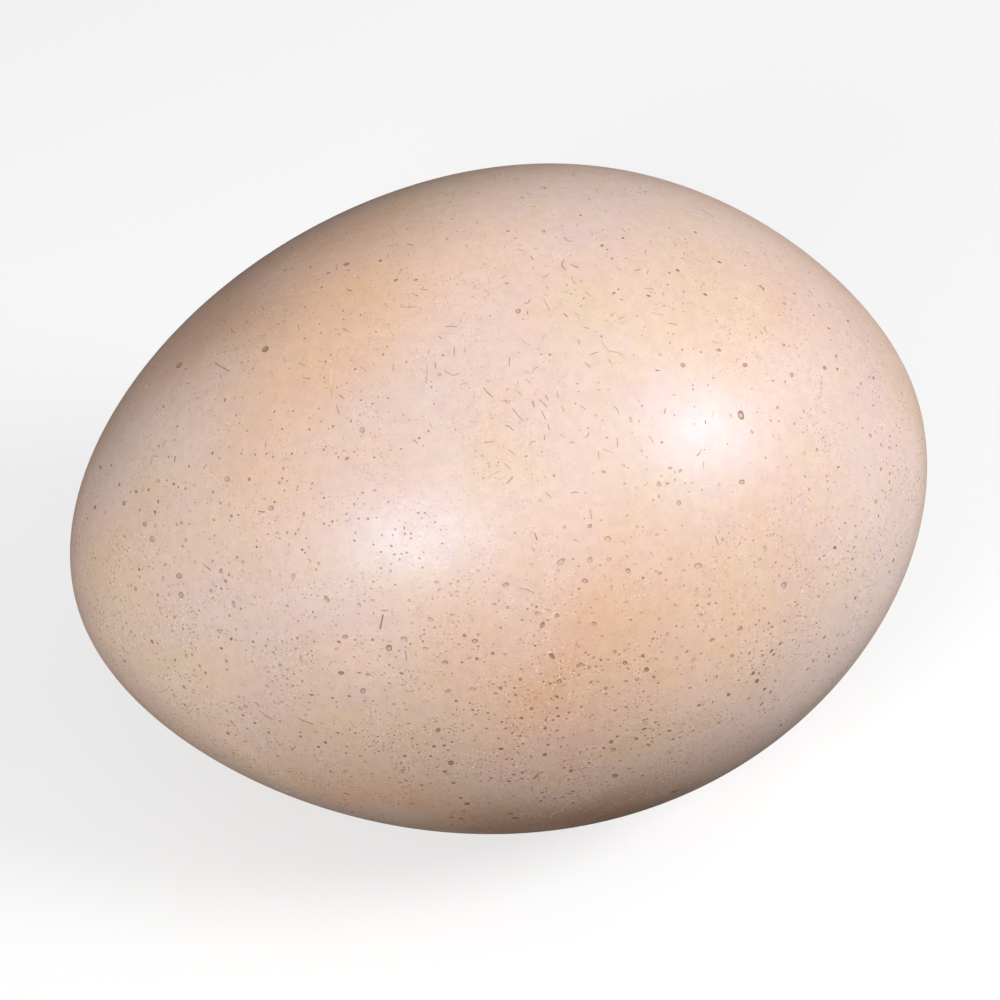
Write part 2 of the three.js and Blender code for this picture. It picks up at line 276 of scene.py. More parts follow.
# Narrow pits, listed in the same way without the pale middle.
DASHES = [
    # left of the middle
    (360.7, 400, 1.5, 1.1, 0, 0.8), (388, 398, 2.0, 0.9, -10, 0.7), (434, 403.8, 1.0, 2.2, 0, 0.9),
    (318.9, 408.7, 0.9, 1.5, 0, 0.9), (320.9, 421.6, 1.5, 0.8, 45, 0.8), (351, 421.1, 1.2, 1.5, 0, 0.9),
    (388, 412.2, 2.0, 0.7, 0, 0.4), (428.4, 430.8, 1.0, 2.2, 10, 0.9), (423, 445.6, 0.9, 1.3, 0, 0.7),
    (343.9, 450.9, 1.9, 0.8, 60, 0.8), (353.9, 451.7, 1.6, 1.1, 0, 0.8), (346.9, 458.4, 2.6, 1.8, -20, 0.8),
    (374, 457.3, 1.6, 1.3, 0, 0.7), (293.4, 411.2, 1.2, 2.3, 10, 0.9),
    (282.1, 428.9, 1.3, 1.8, -20, 1.2), (246.9, 430.9, 1.8, 1.2, 0, 0.6), (275.7, 435.2, 2.0, 0.7, 0, 0.4),
    (266.2, 453.8, 1.6, 2.3, -15, 1.0), (283.4, 468.4, 1.2, 2.4, 0, 0.8), (282.3, 478.1, 1.2, 2.2, -20, 1.0),
    (297.7, 486.2, 1.1, 1.9, 0, 0.7), (264.3, 498.8, 1.6, 1.0, 40, 0.9), (314, 499, 0.9, 1.8, 0, 0.7),
    (275.2, 520.4, 1.8, 0.7, 0, 0.5), (298.2, 529.4, 1.1, 2.0, 0, 0.9), (286.9, 532.3, 1.2, 1.6, 0, 0.8),
    (308.6, 547.1, 1.1, 1.6, 0, 0.8),
    # the top middle
    (580.4, 215.1, 2.0, 0.9, 0, 0.8), (508, 231.1, 2.2, 0.9, -5, 0.8), (515.6, 238.3, 2.0, 1.0, 15, 0.7),
    (519.7, 244.6, 2.4, 0.8, 10, 0.5), (506.7, 283.4, 2.2, 0.8, 0, 0.9), (553.4, 215.3, 0.8, 1.8, 0, 0.5),
    (566.6, 284.7, 1.0, 2.2, 0, 0.8), (580.9, 281.1, 1.8, 1.0, 35, 0.5), (575.1, 289.8, 1.8, 0.8, 40, 0.7),
    (570.7, 293.9, 2.2, 0.8, 35, 0.7), (583.8, 298.5, 1.2, 1.6, 0, 0.9), (547.2, 287.2, 2.6, 0.7, 3, 0.6),
    (522.8, 319.4, 2.2, 0.7, 5, 0.6), (535.3, 248.5, 1.8, 2.2, 0, 0.5), (466.1, 245.4, 2.0, 1.8, 0, 0.35),
    # the right shoulder
    (794.5, 293.5, 2.2, 0.9, 15, 0.8), (784.3, 303.5, 2.2, 1.0, 30, 0.8), (779.4, 315.2, 2.2, 0.9, 0, 0.7),
    (813.9, 315.2, 1.6, 1.0, 45, 0.8), (848.1, 321.1, 1.9, 1.0, 50, 1.3), (829, 328.3, 2.2, 0.9, 40, 1.1),
    (868, 335.6, 0.9, 1.4, 30, 0.6), (868, 341.2, 1.0, 1.6, 30, 0.6),
    (836.3, 356, 1.1, 2.2, -20, 0.9), (837.3, 369, 1.2, 1.9, -20, 1.0), (873.6, 378, 2.4, 1.0, 70, 1.2),
    (869.5, 376.9, 1.6, 0.9, 70, 0.7), (860.8, 383.6, 1.1, 2.2, 0, 0.6),
    # the bottom
    (444.8, 771.6, 2.8, 1.4, 10, 1.1), (453.5, 783.1, 2.6, 1.2, 10, 1.1), (460.9, 798, 2.0, 1.2, 0, 1.2),
    (463.7, 811.4, 3.0, 0.8, 0, 0.8), (451.4, 817.6, 2.2, 0.9, 0, 0.8), (461.1, 818.4, 2.8, 0.9, 0, 0.9),
    (451.7, 824.7, 2.2, 0.9, 0, 1.0), (459.3, 825.2, 2.6, 0.9, 5, 1.1), (510.9, 813.5, 2.8, 1.0, 0, 1.1),
    (515.2, 818.1, 4.6, 0.9, 0, 1.1), (475.9, 767.6, 1.8, 0.8, 0, 0.6), (468.3, 763.2, 1.6, 0.9, 0, 0.6),
    (462.1, 764.8, 1.6, 1.0, 0, 0.6), (481, 772.7, 2.6, 1.1, -30, 0.6), (491.2, 778.3, 1.8, 1.2, 0, 1.0),
    (488.9, 781.3, 1.8, 0.9, -10, 0.6), (480.5, 781.3, 2.4, 0.9, 0, 0.6),
    (513.4, 765, 1.8, 1.0, 0, 0.8), (513.7, 774.7, 2.2, 1.1, -10, 1.0),
    (510.6, 778, 1.3, 1.0, 0, 0.8), (508.8, 781.3, 2.6, 1.2, 0, 1.0), (522.3, 772.7, 1.7, 1.3, 0, 1.1),
    (522.1, 778.8, 1.8, 1.0, -15, 0.9), (528.1, 779.5, 1.1, 0.8, 0, 0.9),
    (564.7, 768.1, 1.6, 0.9, -20, 0.7), (568.5, 779.8, 2.0, 1.1, -10, 0.9), (572.9, 791.5, 2.2, 1.0, -15, 1.2),
    (569.1, 794.1, 2.0, 0.8, -15, 0.8), (542.2, 792.6, 1.9, 1.1, 0, 1.0), (544.3, 797.4, 1.8, 1.0, 0, 1.1),
    (540.7, 801, 2.6, 1.3, -45, 1.4), (555, 798.7, 2.6, 1.1, -35, 1.3), (562.3, 797.4, 1.5, 1.2, 0, 1.2),
    (573.4, 803, 1.6, 1.2, 0, 1.0), (559.6, 811.4, 2.6, 0.8, 0, 0.7), (583.9, 776.5, 1.2, 1.4, 0, 0.9),
    (589.2, 763, 1.8, 1.3, -30, 1.0),
    # the left end
    (163.4, 406.5, 2.2, 1.1, -60, 0.9), (157.2, 408.9, 0.9, 1.4, 0, 0.6), (197.3, 397.7, 0.8, 2.0, 0, 0.7),
    (224.9, 399.9, 1.1, 2.2, 10, 1.0), (213.7, 416, 3.0, 0.7, 0, 0.4), (177.4, 426.2, 1.8, 1.1, -45, 0.9),
    (130.7, 418.6, 2.2, 1.0, 0, 0.5), (126.4, 423.2, 1.2, 2.2, 0, 0.4), (174.4, 440, 1.1, 1.7, 0, 0.9),
    (168.8, 456.8, 0.9, 1.5, 0, 0.8), (156.5, 456.3, 0.9, 1.6, 0, 0.7), (188.7, 466.2, 1.4, 1.6, 0, 0.8),
    (212.4, 452.8, 1.2, 2.3, 0, 1.0), (226.9, 485.9, 1.0, 1.4, 0, 0.7), (216, 483.4, 0.8, 1.5, 0, 0.5),
    (213, 491.7, 1.2, 1.8, 0, 0.8), (185.6, 482.3, 0.9, 1.4, 0, 0.7), (173.7, 483.7, 1.3, 2.0, 0, 1.1),
    (167.2, 480.3, 1.0, 1.6, 0, 0.8), (148.4, 489.7, 1.4, 1.8, 0, 1.0), (136.1, 491.7, 1.4, 2.0, 0, 1.0),
    (130.5, 491.7, 1.0, 1.8, 0, 0.8), (119.3, 484.4, 1.2, 2.0, 0, 1.0), (100.4, 467, 1.3, 2.8, -10, 0.8),
    (111.4, 465.5, 0.9, 1.8, 0, 0.9), (155, 511.9, 1.4, 2.6, 0, 1.1), (139.7, 510.2, 1.0, 1.9, 0, 0.8),
    (95, 507.3, 1.2, 2.8, 15, 1.0), (87.3, 518.4, 0.8, 1.6, 0, 0.8), (190, 510.9, 1.0, 1.6, 0, 0.6),
    (231.5, 516, 1.4, 1.8, 0, 1.1), (238.2, 515, 1.2, 2.6, 0, 0.9), (213.9, 520.1, 1.1, 1.8, 0, 0.8),
    (181.5, 522.7, 1.8, 2.0, 0, 0.7), (189.4, 523.7, 1.6, 1.0, 0, 0.7), (124.4, 536.4, 1.3, 1.8, 0, 0.8),
    # the upper middle
    (549.8, 354.7, 1.7, 1.0, 0, 1.1), (577.3, 383.6, 2.8, 0.9, -10, 0.8), (578.4, 391.9, 2.2, 0.9, 0, 0.7),
    (507.4, 389.2, 2.0, 1.1, -40, 0.6), (588, 428.3, 2.4, 0.8, 0, 0.7), (580.4, 430.5, 1.0, 1.5, 0, 0.6),
    (606.9, 437.9, 2.0, 1.3, 0, 0.6), (542.1, 451.9, 2.2, 0.8, -10, 0.8), (526.1, 456.5, 2.2, 1.2, -35, 0.7),
    (481.9, 456, 0.9, 2.0, 25, 0.7), (475.3, 450.4, 0.8, 2.0, 0, 0.5), (498.3, 462.1, 0.9, 2.2, 0, 0.6),
    (602.3, 420.5, 1.8, 0.9, 0, 0.4), (519.2, 352.2, 2.2, 0.7, 0, 0.5),
    # the upper left
    (380.1, 260.4, 2.4, 1.6, -10, 0.9), (395.9, 279.8, 3.0, 1.5, -30, 0.9), (415.8, 279.8, 2.6, 1.2, -10, 0.9),
    (310.2, 267, 1.0, 1.5, 0, 0.9), (328.1, 272.9, 1.6, 1.8, 0, 0.8), (317.9, 279.6, 2.0, 0.8, -5, 0.5),
    (321.6, 287.4, 1.5, 0.9, -10, 1.1), (313.8, 292.6, 1.4, 0.8, 0, 0.7), (406.6, 267.8, 1.3, 0.8, 0, 0.6),
    (384.7, 304.1, 3.0, 0.6, 0, 0.5), (434.7, 303.8, 0.8, 2.0, 10, 0.6), (450.5, 279.3, 0.8, 1.6, 0, 0.7),
    (304.6, 307.1, 1.2, 0.9, 0, 0.9), (331.6, 305.6, 2.2, 0.7, 0, 0.5), (343.4, 310.9, 1.8, 1.1, 20, 1.0),
    (351, 313.7, 2.0, 0.7, 0, 0.7), (360.4, 315, 1.0, 1.4, 30, 1.0), (343.7, 319.6, 1.0, 1.4, 0, 1.0),
    (320.9, 332.7, 1.0, 1.8, 30, 1.1), (339.3, 334.4, 1.5, 0.8, 0, 0.8), (304.6, 338.5, 1.8, 1.0, -10, 0.8),
    (376, 332.3, 0.9, 1.4, 30, 0.9), (387.2, 346.6, 1.2, 1.6, 0, 0.9), (383.2, 354.5, 1.0, 1.5, 10, 1.0),
    (330.6, 354.8, 0.9, 1.8, 0, 1.0), (325.5, 361.4, 1.0, 1.8, 0, 1.1), (355.1, 369.1, 1.7, 1.0, -40, 1.0),
    (324.2, 377.6, 0.9, 1.8, 10, 1.0), (337.2, 387.4, 0.9, 1.8, -20, 0.9), (327, 387.8, 2.0, 0.7, -10, 0.6),
    (350.5, 391.8, 0.9, 1.3, 0, 0.8), (346.1, 382.9, 0.8, 1.5, 0, 0.6), (406.4, 361.9, 1.0, 2.2, 5, 1.0),
    (442.9, 355.3, 2.0, 0.9, 0, 0.9), (431.1, 381.8, 0.9, 1.6, 0, 0.8), (431.1, 386.9, 1.4, 1.0, 0, 0.7),
    # the upper right
    (677.6, 270.2, 2.9, 1.2, 28, 1.2), (705.1, 294.4, 3.2, 1.2, 27, 1.1), (669.4, 272.7, 2.4, 1.0, 28, 0.8),
    (648.5, 295.7, 3.4, 1.0, 18, 1.0), (602, 245.4, 2.2, 1.2, -20, 1.1), (607.1, 249.5, 1.6, 1.0, -30, 1.1),
    (623, 238, 2.0, 1.0, 35, 1.0), (629.1, 229.6, 1.4, 0.8, 30, 0.7), (613.8, 293.1, 2.6, 1.4, -25, 0.8),
    (695.4, 232.1, 1.8, 1.0, 20, 1.1), (686.2, 242.9, 1.3, 0.8, 30, 0.7), (669.4, 228.1, 2.0, 1.0, 0, 0.4),
    (684.2, 253.1, 1.6, 1.0, 30, 0.7), (682.7, 258.2, 1.8, 0.7, 0, 0.7), (719.4, 262, 2.6, 1.0, 30, 1.1),
    (744.9, 265.5, 1.4, 1.0, 0, 0.9), (748, 252.6, 1.8, 0.9, 20, 0.5), (737.8, 251, 1.8, 0.8, 0, 0.4),
    (667.9, 284.5, 1.6, 0.8, 0, 0.8), (683.7, 291.5, 1.5, 0.9, 0, 0.9), (736.2, 298.2, 2.0, 0.9, 15, 0.8),
    (673.5, 309.2, 1.8, 0.9, 50, 0.9), (683.2, 303.6, 1.6, 0.7, 20, 0.7), (683.2, 311.4, 1.6, 0.7, 20, 0.6),
    (636.7, 315.8, 1.4, 0.8, 30, 0.7), (667.9, 333, 2.0, 0.7, 0, 0.7), (682.4, 350, 2.2, 0.9, 25, 0.9),
    (701, 352, 2.0, 1.2, 0, 0.5), (756.1, 337.2, 1.4, 0.9, 40, 0.9), (730.1, 333.7, 0.9, 1.6, -30, 0.5),
    (601.5, 336.2, 1.2, 2.0, 0, 0.9),
    # the lower left
    (338.8, 641.9, 2.9, 1.5, 30, 1.0), (354.1, 657.1, 2.0, 1.0, 20, 0.7), (355.1, 640, 2.5, 1.1, 15, 0.8),
    (355.1, 645.9, 2.0, 1.0, 15, 0.4), (312.7, 611.9, 1.8, 1.1, 30, 0.9), (315.3, 617.3, 1.6, 1.1, 40, 0.8),
    (314.1, 641.6, 1.9, 1.0, 35, 0.8), (335.9, 625.5, 1.7, 1.1, 30, 0.6), (369.6, 663.7, 1.6, 1.0, 20, 0.6),
    (359.4, 673, 2.3, 1.0, 0, 0.9), (381.8, 675.3, 1.4, 0.9, 20, 0.7), (379.3, 656.4, 2.2, 1.4, 40, 0.6),
    (389.2, 665.3, 1.4, 0.9, 35, 0.9), (393.1, 668.2, 1.3, 0.9, 35, 0.9), (349.2, 696.3, 2.3, 1.2, 20, 0.9),
    (332.3, 698, 2.3, 1.2, 20, 0.9), (332.3, 693.9, 2.0, 0.9, 25, 0.7), (311.4, 694.9, 2.8, 1.2, 5, 0.9),
    (318.6, 694.7, 2.0, 0.8, 0, 0.6), (336.4, 702, 1.3, 0.9, 35, 1.2), (336.7, 707.1, 1.5, 0.8, 50, 1.0),
    (364.5, 701, 1.5, 0.9, 40, 0.9), (373, 701, 1.7, 1.0, 15, 0.7), (355.3, 733.3, 1.8, 1.0, 25, 1.2),
    (337.8, 732.9, 2.0, 1.0, 25, 1.1), (325.5, 742.6, 2.3, 1.1, 25, 1.1), (318.6, 747.1, 2.4, 1.1, 30, 1.2),
    (300.4, 732.4, 2.0, 0.9, 25, 0.9), (300.4, 736.5, 2.3, 0.9, 25, 1.1), (321.6, 723.5, 1.6, 0.9, 40, 1.0),
    (280, 721.4, 1.8, 0.9, 30, 1.0), (254.8, 723, 2.5, 1.0, 40, 1.3), (243.1, 715.3, 2.3, 1.1, 40, 1.1),
    (247.1, 728.4, 2.0, 0.9, 45, 0.9), (268.9, 732.4, 1.8, 0.9, 25, 1.0), (244.6, 741.6, 1.8, 0.9, 35, 0.9),
    (292.6, 749.5, 1.6, 0.9, 30, 1.2), (295.1, 747.4, 1.6, 0.8, 45, 1.0), (279.8, 744.9, 1.5, 0.8, 45, 0.9),
    (277.8, 756.4, 1.8, 0.9, 20, 1.0), (346.1, 753.4, 1.8, 0.9, 25, 1.2), (365.5, 750, 1.4, 0.8, 20, 1.3),
    (369.1, 746.9, 1.3, 0.8, 20, 1.1), (378.8, 751.5, 1.9, 0.9, 25, 1.3), (378, 736.7, 1.3, 0.9, 20, 1.4),
    (373.9, 741.1, 1.3, 0.9, 20, 1.3), (377.8, 741.8, 1.5, 0.8, 20, 1.2), (394.3, 735, 1.2, 0.9, 20, 1.2),
    (388.5, 713.3, 2.0, 0.8, 10, 0.6), (347.1, 746.7, 1.8, 0.8, 25, 0.9), (268, 639.8, 1.6, 0.9, 30, 0.8),
    (275.7, 648, 1.5, 0.8, 45, 0.7), (252.2, 661.7, 1.3, 0.9, 45, 0.9), (287.1, 669.7, 1.8, 0.8, 30, 0.8),
    (293.6, 673.7, 1.6, 0.7, 40, 0.7), (287.4, 679.1, 2.0, 0.9, 35, 0.8), (302.2, 681.1, 1.7, 0.9, 30, 1.2),
    (292.8, 685.9, 2.2, 0.9, 35, 1.0), (281.8, 690.3, 1.4, 0.8, 30, 0.7), (270.9, 693.9, 0.9, 2.5, 5, 0.8),
    (295.1, 697.7, 0.9, 1.4, -40, 0.9), (307.3, 654.6, 0.9, 1.6, 10, 0.9), (311.4, 651, 1.4, 0.9, 40, 0.9),
    (312.2, 655.6, 1.2, 0.8, 40, 0.9), (311.4, 661.2, 1.3, 0.9, 30, 1.0), (286.4, 654.6, 0.9, 1.2, -35, 0.7),
    (293.1, 710.2, 1.4, 0.8, 10, 0.7), (289, 707.1, 0.8, 1.2, 0, 0.7), (373.5, 613.5, 0.8, 2.3, 0, 0.7),
    (358.4, 613.8, 1.6, 0.9, 0, 0.5), (392, 612.8, 1.5, 0.8, 10, 0.6), (328.8, 683.5, 1.2, 0.8, 30, 0.7),
    # the lower middle
    (410, 644.1, 1.5, 1.0, 30, 1.0), (412.8, 648.5, 3.6, 1.0, 0, 0.6), (424, 630.1, 1.5, 1.0, 0, 0.9),
    (458.4, 616.8, 1.2, 0.7, -20, 0.6), (471.9, 619.2, 2.0, 0.8, 0, 0.6), (478.1, 646.7, 2.0, 1.2, -10, 0.8),
    (462, 662.4, 1.8, 1.2, 0, 1.2), (476.8, 658.9, 1.9, 1.6, 20, 1.1), (500.8, 627.8, 1.8, 1.4, 20, 0.7),
    (495.4, 625.3, 1.4, 0.8, 20, 0.5), (521.9, 620.3, 2.0, 1.5, 0, 0.55), (527.3, 609.2, 1.8, 1.2, -30, 0.7),
    (536.5, 606.9, 1.8, 1.5, -20, 0.9), (494.9, 604.3, 2.2, 1.3, 20, 0.7), (408.7, 610.2, 1.2, 0.8, 0, 0.4),
    (521.4, 669.2, 1.6, 1.2, -20, 0.8), (492.7, 684.2, 1.7, 0.9, 10, 0.8), (495.7, 693.4, 2.8, 1.3, 10, 0.8),
    (514.5, 688, 1.7, 1.2, 20, 1.0), (515.6, 694.9, 1.7, 1.6, 0, 1.0), (528.1, 690, 1.6, 1.1, -10, 0.7),
    (543.4, 681.9, 1.6, 1.3, 0, 0.9), (557.1, 696.9, 2.3, 1.7, 20, 1.0), (424.2, 683.5, 0.9, 1.5, -15, 1.0),
    (413.3, 671.4, 1.1, 1.7, -30, 0.7), (443.9, 674.8, 1.6, 1.1, 0, 0.5), (456.1, 701.2, 2.0, 1.4, 0, 1.0),
    (469.9, 703.1, 1.5, 0.9, 0, 1.0), (456.6, 710, 1.2, 0.9, 0, 1.2), (464.1, 710, 1.5, 0.9, 0, 1.0),
    (472.7, 710, 1.7, 1.2, 0, 1.2), (476, 714.8, 3.4, 0.8, 3, 0.9), (487.8, 713, 1.8, 1.0, 5, 1.2),
    (488.6, 719.4, 1.6, 0.9, 10, 0.9), (521.4, 718.2, 2.3, 1.6, 5, 1.1), (506.3, 718.6, 1.1, 0.9, 0, 1.0),
    (531.6, 717.3, 1.6, 0.8, -10, 0.9), (501.8, 722.1, 2.0, 1.2, 15, 1.2), (505.6, 728.6, 1.7, 1.2, -15, 1.0),
    (486.7, 728.4, 2.1, 0.9, 0, 1.3), (556.9, 708.2, 2.0, 1.2, 0, 1.3), (558.2, 716.3, 2.0, 1.4, 0, 1.1),
    (552.8, 720.1, 1.8, 1.2, -20, 1.3), (545.7, 720.4, 1.2, 1.8, 45, 1.0), (545.1, 728.4, 2.0, 1.3, -20, 1.2),
    (557.1, 730.6, 1.8, 1.0, -10, 1.3), (547.8, 738.8, 1.4, 0.8, 0, 1.0), (548, 744.9, 2.0, 1.2, -10, 1.5),
    (558.2, 738.8, 1.4, 0.9, 0, 0.9), (498.3, 738.6, 1.8, 1.0, 0, 1.3), (518.4, 746.6, 1.6, 0.9, 0, 1.2),
    (523, 743.9, 1.7, 1.0, 0, 1.3), (520.4, 736, 1.5, 1.2, -20, 1.2), (512.2, 733.2, 1.5, 1.2, -40, 1.1),
    (522.1, 732.4, 1.2, 0.9, 0, 0.9), (519.4, 753.6, 1.3, 0.8, 0, 1.1), (506.6, 759.2, 1.5, 1.0, 0, 1.3),
    (512.2, 759.2, 1.5, 1.0, 0, 1.2), (435.2, 721.7, 1.3, 0.9, 0, 1.0), (444.4, 722.4, 1.8, 0.9, 10, 0.5),
    (463.3, 730.6, 1.8, 0.9, 10, 1.2), (469.6, 728.4, 1.2, 0.8, 10, 1.2), (452, 742.1, 1.5, 1.2, 0, 1.3),
    (444.1, 745.7, 2.2, 1.6, -10, 0.9), (434.2, 746.4, 2.3, 1.5, 10, 1.1), (441.6, 738.3, 2.2, 1.0, 15, 0.7),
    (412.2, 738.5, 1.4, 1.1, 0, 1.1), (417.3, 744.7, 1.5, 0.8, 30, 0.9), (418.9, 752.6, 1.8, 0.8, 20, 1.0),
    (430.6, 756.3, 1.7, 1.1, 0, 1.5), (404.6, 756.1, 2.4, 1.3, 10, 1.0), (408.7, 723.5, 2.6, 1.0, 0, 0.7),
    (406.3, 710, 1.5, 0.9, 10, 0.8), (455.1, 724, 2.0, 0.8, 0, 0.5), (481.1, 706.6, 1.6, 0.8, 0, 0.8),
    (509.4, 702, 1.4, 1.2, 0, 1.0), (445.9, 651.7, 1.8, 0.8, 0, 0.7), (437.2, 657.3, 1.5, 0.9, 0, 0.7),
    # the lower right
    (759.3, 620.6, 1.5, 1.1, -20, 0.8), (755.7, 624.7, 1.8, 1.1, -30, 0.7), (769, 623.2, 2.0, 1.2, -60, 0.9),
    (772, 626.9, 1.7, 1.5, 0, 0.8), (770.5, 633.9, 1.5, 1.0, -20, 0.8), (763.4, 665, 1.5, 0.9, -30, 1.1),
    (758.6, 673.2, 1.6, 0.9, -40, 1.1), (761, 678.6, 1.4, 1.1, -50, 1.5), (738.9, 680.3, 1.8, 0.9, -40, 1.2),
    (761.6, 704, 3.4, 1.0, -45, 1.3), (763.7, 709.4, 1.6, 0.7, -45, 1.1), (765.1, 712.2, 1.2, 0.8, -20, 1.3),
    (722, 619.6, 1.2, 2.6, 20, 0.7), (734.3, 614.3, 1.3, 2.0, 20, 0.7), (764.4, 608.4, 1.7, 1.4, -30, 0.7),
    (795.3, 602, 0.9, 1.4, 35, 0.9), (797.6, 604.6, 1.4, 0.9, -45, 1.0), (756.2, 641.5, 1.8, 1.4, 0, 0.6),
    (745.5, 641.3, 1.3, 0.9, 0, 0.7), (793, 640, 1.2, 0.9, -40, 1.1), (816.4, 623.2, 1.5, 0.8, -45, 1.1),
    (819.5, 627.8, 1.4, 0.7, -40, 0.9), (816.4, 634.2, 1.3, 0.9, -45, 1.0), (836.8, 648.5, 1.9, 0.8, -60, 1.1),
    (834.8, 654.3, 1.6, 0.8, -45, 0.8), (826.9, 653.3, 1.4, 0.7, -20, 0.8), (819, 652.4, 1.6, 0.8, -40, 0.9),
    (813.4, 660.7, 2.0, 0.9, -50, 1.2), (825.6, 660.9, 1.2, 0.7, -40, 0.8), (793, 681.3, 1.4, 0.7, -20, 0.7),
    (813.6, 681.3, 1.4, 0.9, -30, 1.0), (791.4, 707.3, 1.8, 0.9, -40, 0.5), (779.7, 720.6, 1.3, 0.9, 0, 0.9),
    (780.7, 725.2, 2.0, 1.0, -40, 1.0), (752.4, 731.1, 1.4, 0.9, 0, 0.8), (752.7, 668.1, 1.3, 0.7, -50, 1.0),
    (727.7, 709.4, 0.8, 1.6, 25, 0.8), (846.5, 607.3, 0.8, 1.9, 30, 0.9), (866.6, 611.9, 0.8, 1.4, 20, 0.9),
    (858.8, 590.8, 1.4, 1.0, -30, 0.9), (832.2, 678.8, 1.8, 0.9, -40, 0.8),
]
PITS += [(*dash, 0.1) for dash in DASHES]
PITS += [
    (279.1, 482.7, 1.8, 1.8, 0, 0.7, 0.5), (249.2, 479.1, 1.7, 2.2, -15, 1.1, 0.6),
    (303.5, 514.1, 1.6, 2.4, 10, 0.8, 0.5),
    (158.6, 446.1, 1.3, 2.1, 0, 0.7, 0.5),
    (194.3, 484.9, 1.8, 2.2, 0, 0.4, 0.6),
    (185.6, 488.5, 1.5, 2.2, 0, 0.7, 0.5),
    (158.4, 480.8, 1.6, 2.2, 0, 0.8, 0.7),
    (123.9, 503.3, 1.9, 2.8, 0, 1.0, 0.6),
    (158.1, 501.5, 1.6, 2.2, 0, 1.0, 0.5),
    (220.3, 503.1, 1.7, 1.9, 0, 0.8, 0.8),
    (144.5, 524, 2.4, 2.9, 0, 0.9, 0.6),
    (612, 314.8, 2.0, 2.4, 0, 0.5, 0.8),
    (336.9, 649.2, 2.4, 2.4, 0, 0.65, 0.9), (394.1, 704.3, 2.2, 1.5, 10, 0.7, 0.8), (389.9, 641.8, 2.0, 1.2, 0, 0.45, 0.8),
    (282.9, 676, 1.6, 1.2, 40, 0.7, 0.7), (425.5, 648.6, 3.4, 1.8, 5, 0.65, 0.7), (464.6, 635.7, 2.1, 2.1, 0, 1.1, 0.5),
    (478.1, 634.9, 1.9, 1.8, 0, 0.85, 0.8), (472.7, 649.8, 2.0, 1.4, 0, 0.5, 0.8), (442.9, 642.3, 1.5, 2.4, 0, 0.45, 0.9),
    (469.2, 658.5, 2.2, 1.8, -15, 0.65, 0.8), (520.4, 679.4, 2.3, 1.8, -20, 1.0, 0.4), (500.5, 688.3, 3.0, 2.0, 35, 0.95, 0.3),
    (550.2, 683.9, 2.2, 1.7, -20, 0.85, 0.4), (535.7, 698, 2.6, 2.2, 0, 0.45, 0.8), (448, 691.3, 3.2, 2.2, -20, 0.75, 0.8),
    (472.7, 689.3, 4.0, 2.2, 10, 0.65, 0.85), (531.3, 708.7, 2.3, 2.2, -30, 1.1, 0.6), (549.5, 735.2, 1.4, 1.4, 0, 0.8, 0.5),
    (722.2, 647.7, 2.6, 1.8, 30, 0.55, 0.7), (788.2, 605.3, 1.8, 1.4, 0, 0.4, 0.6),
]
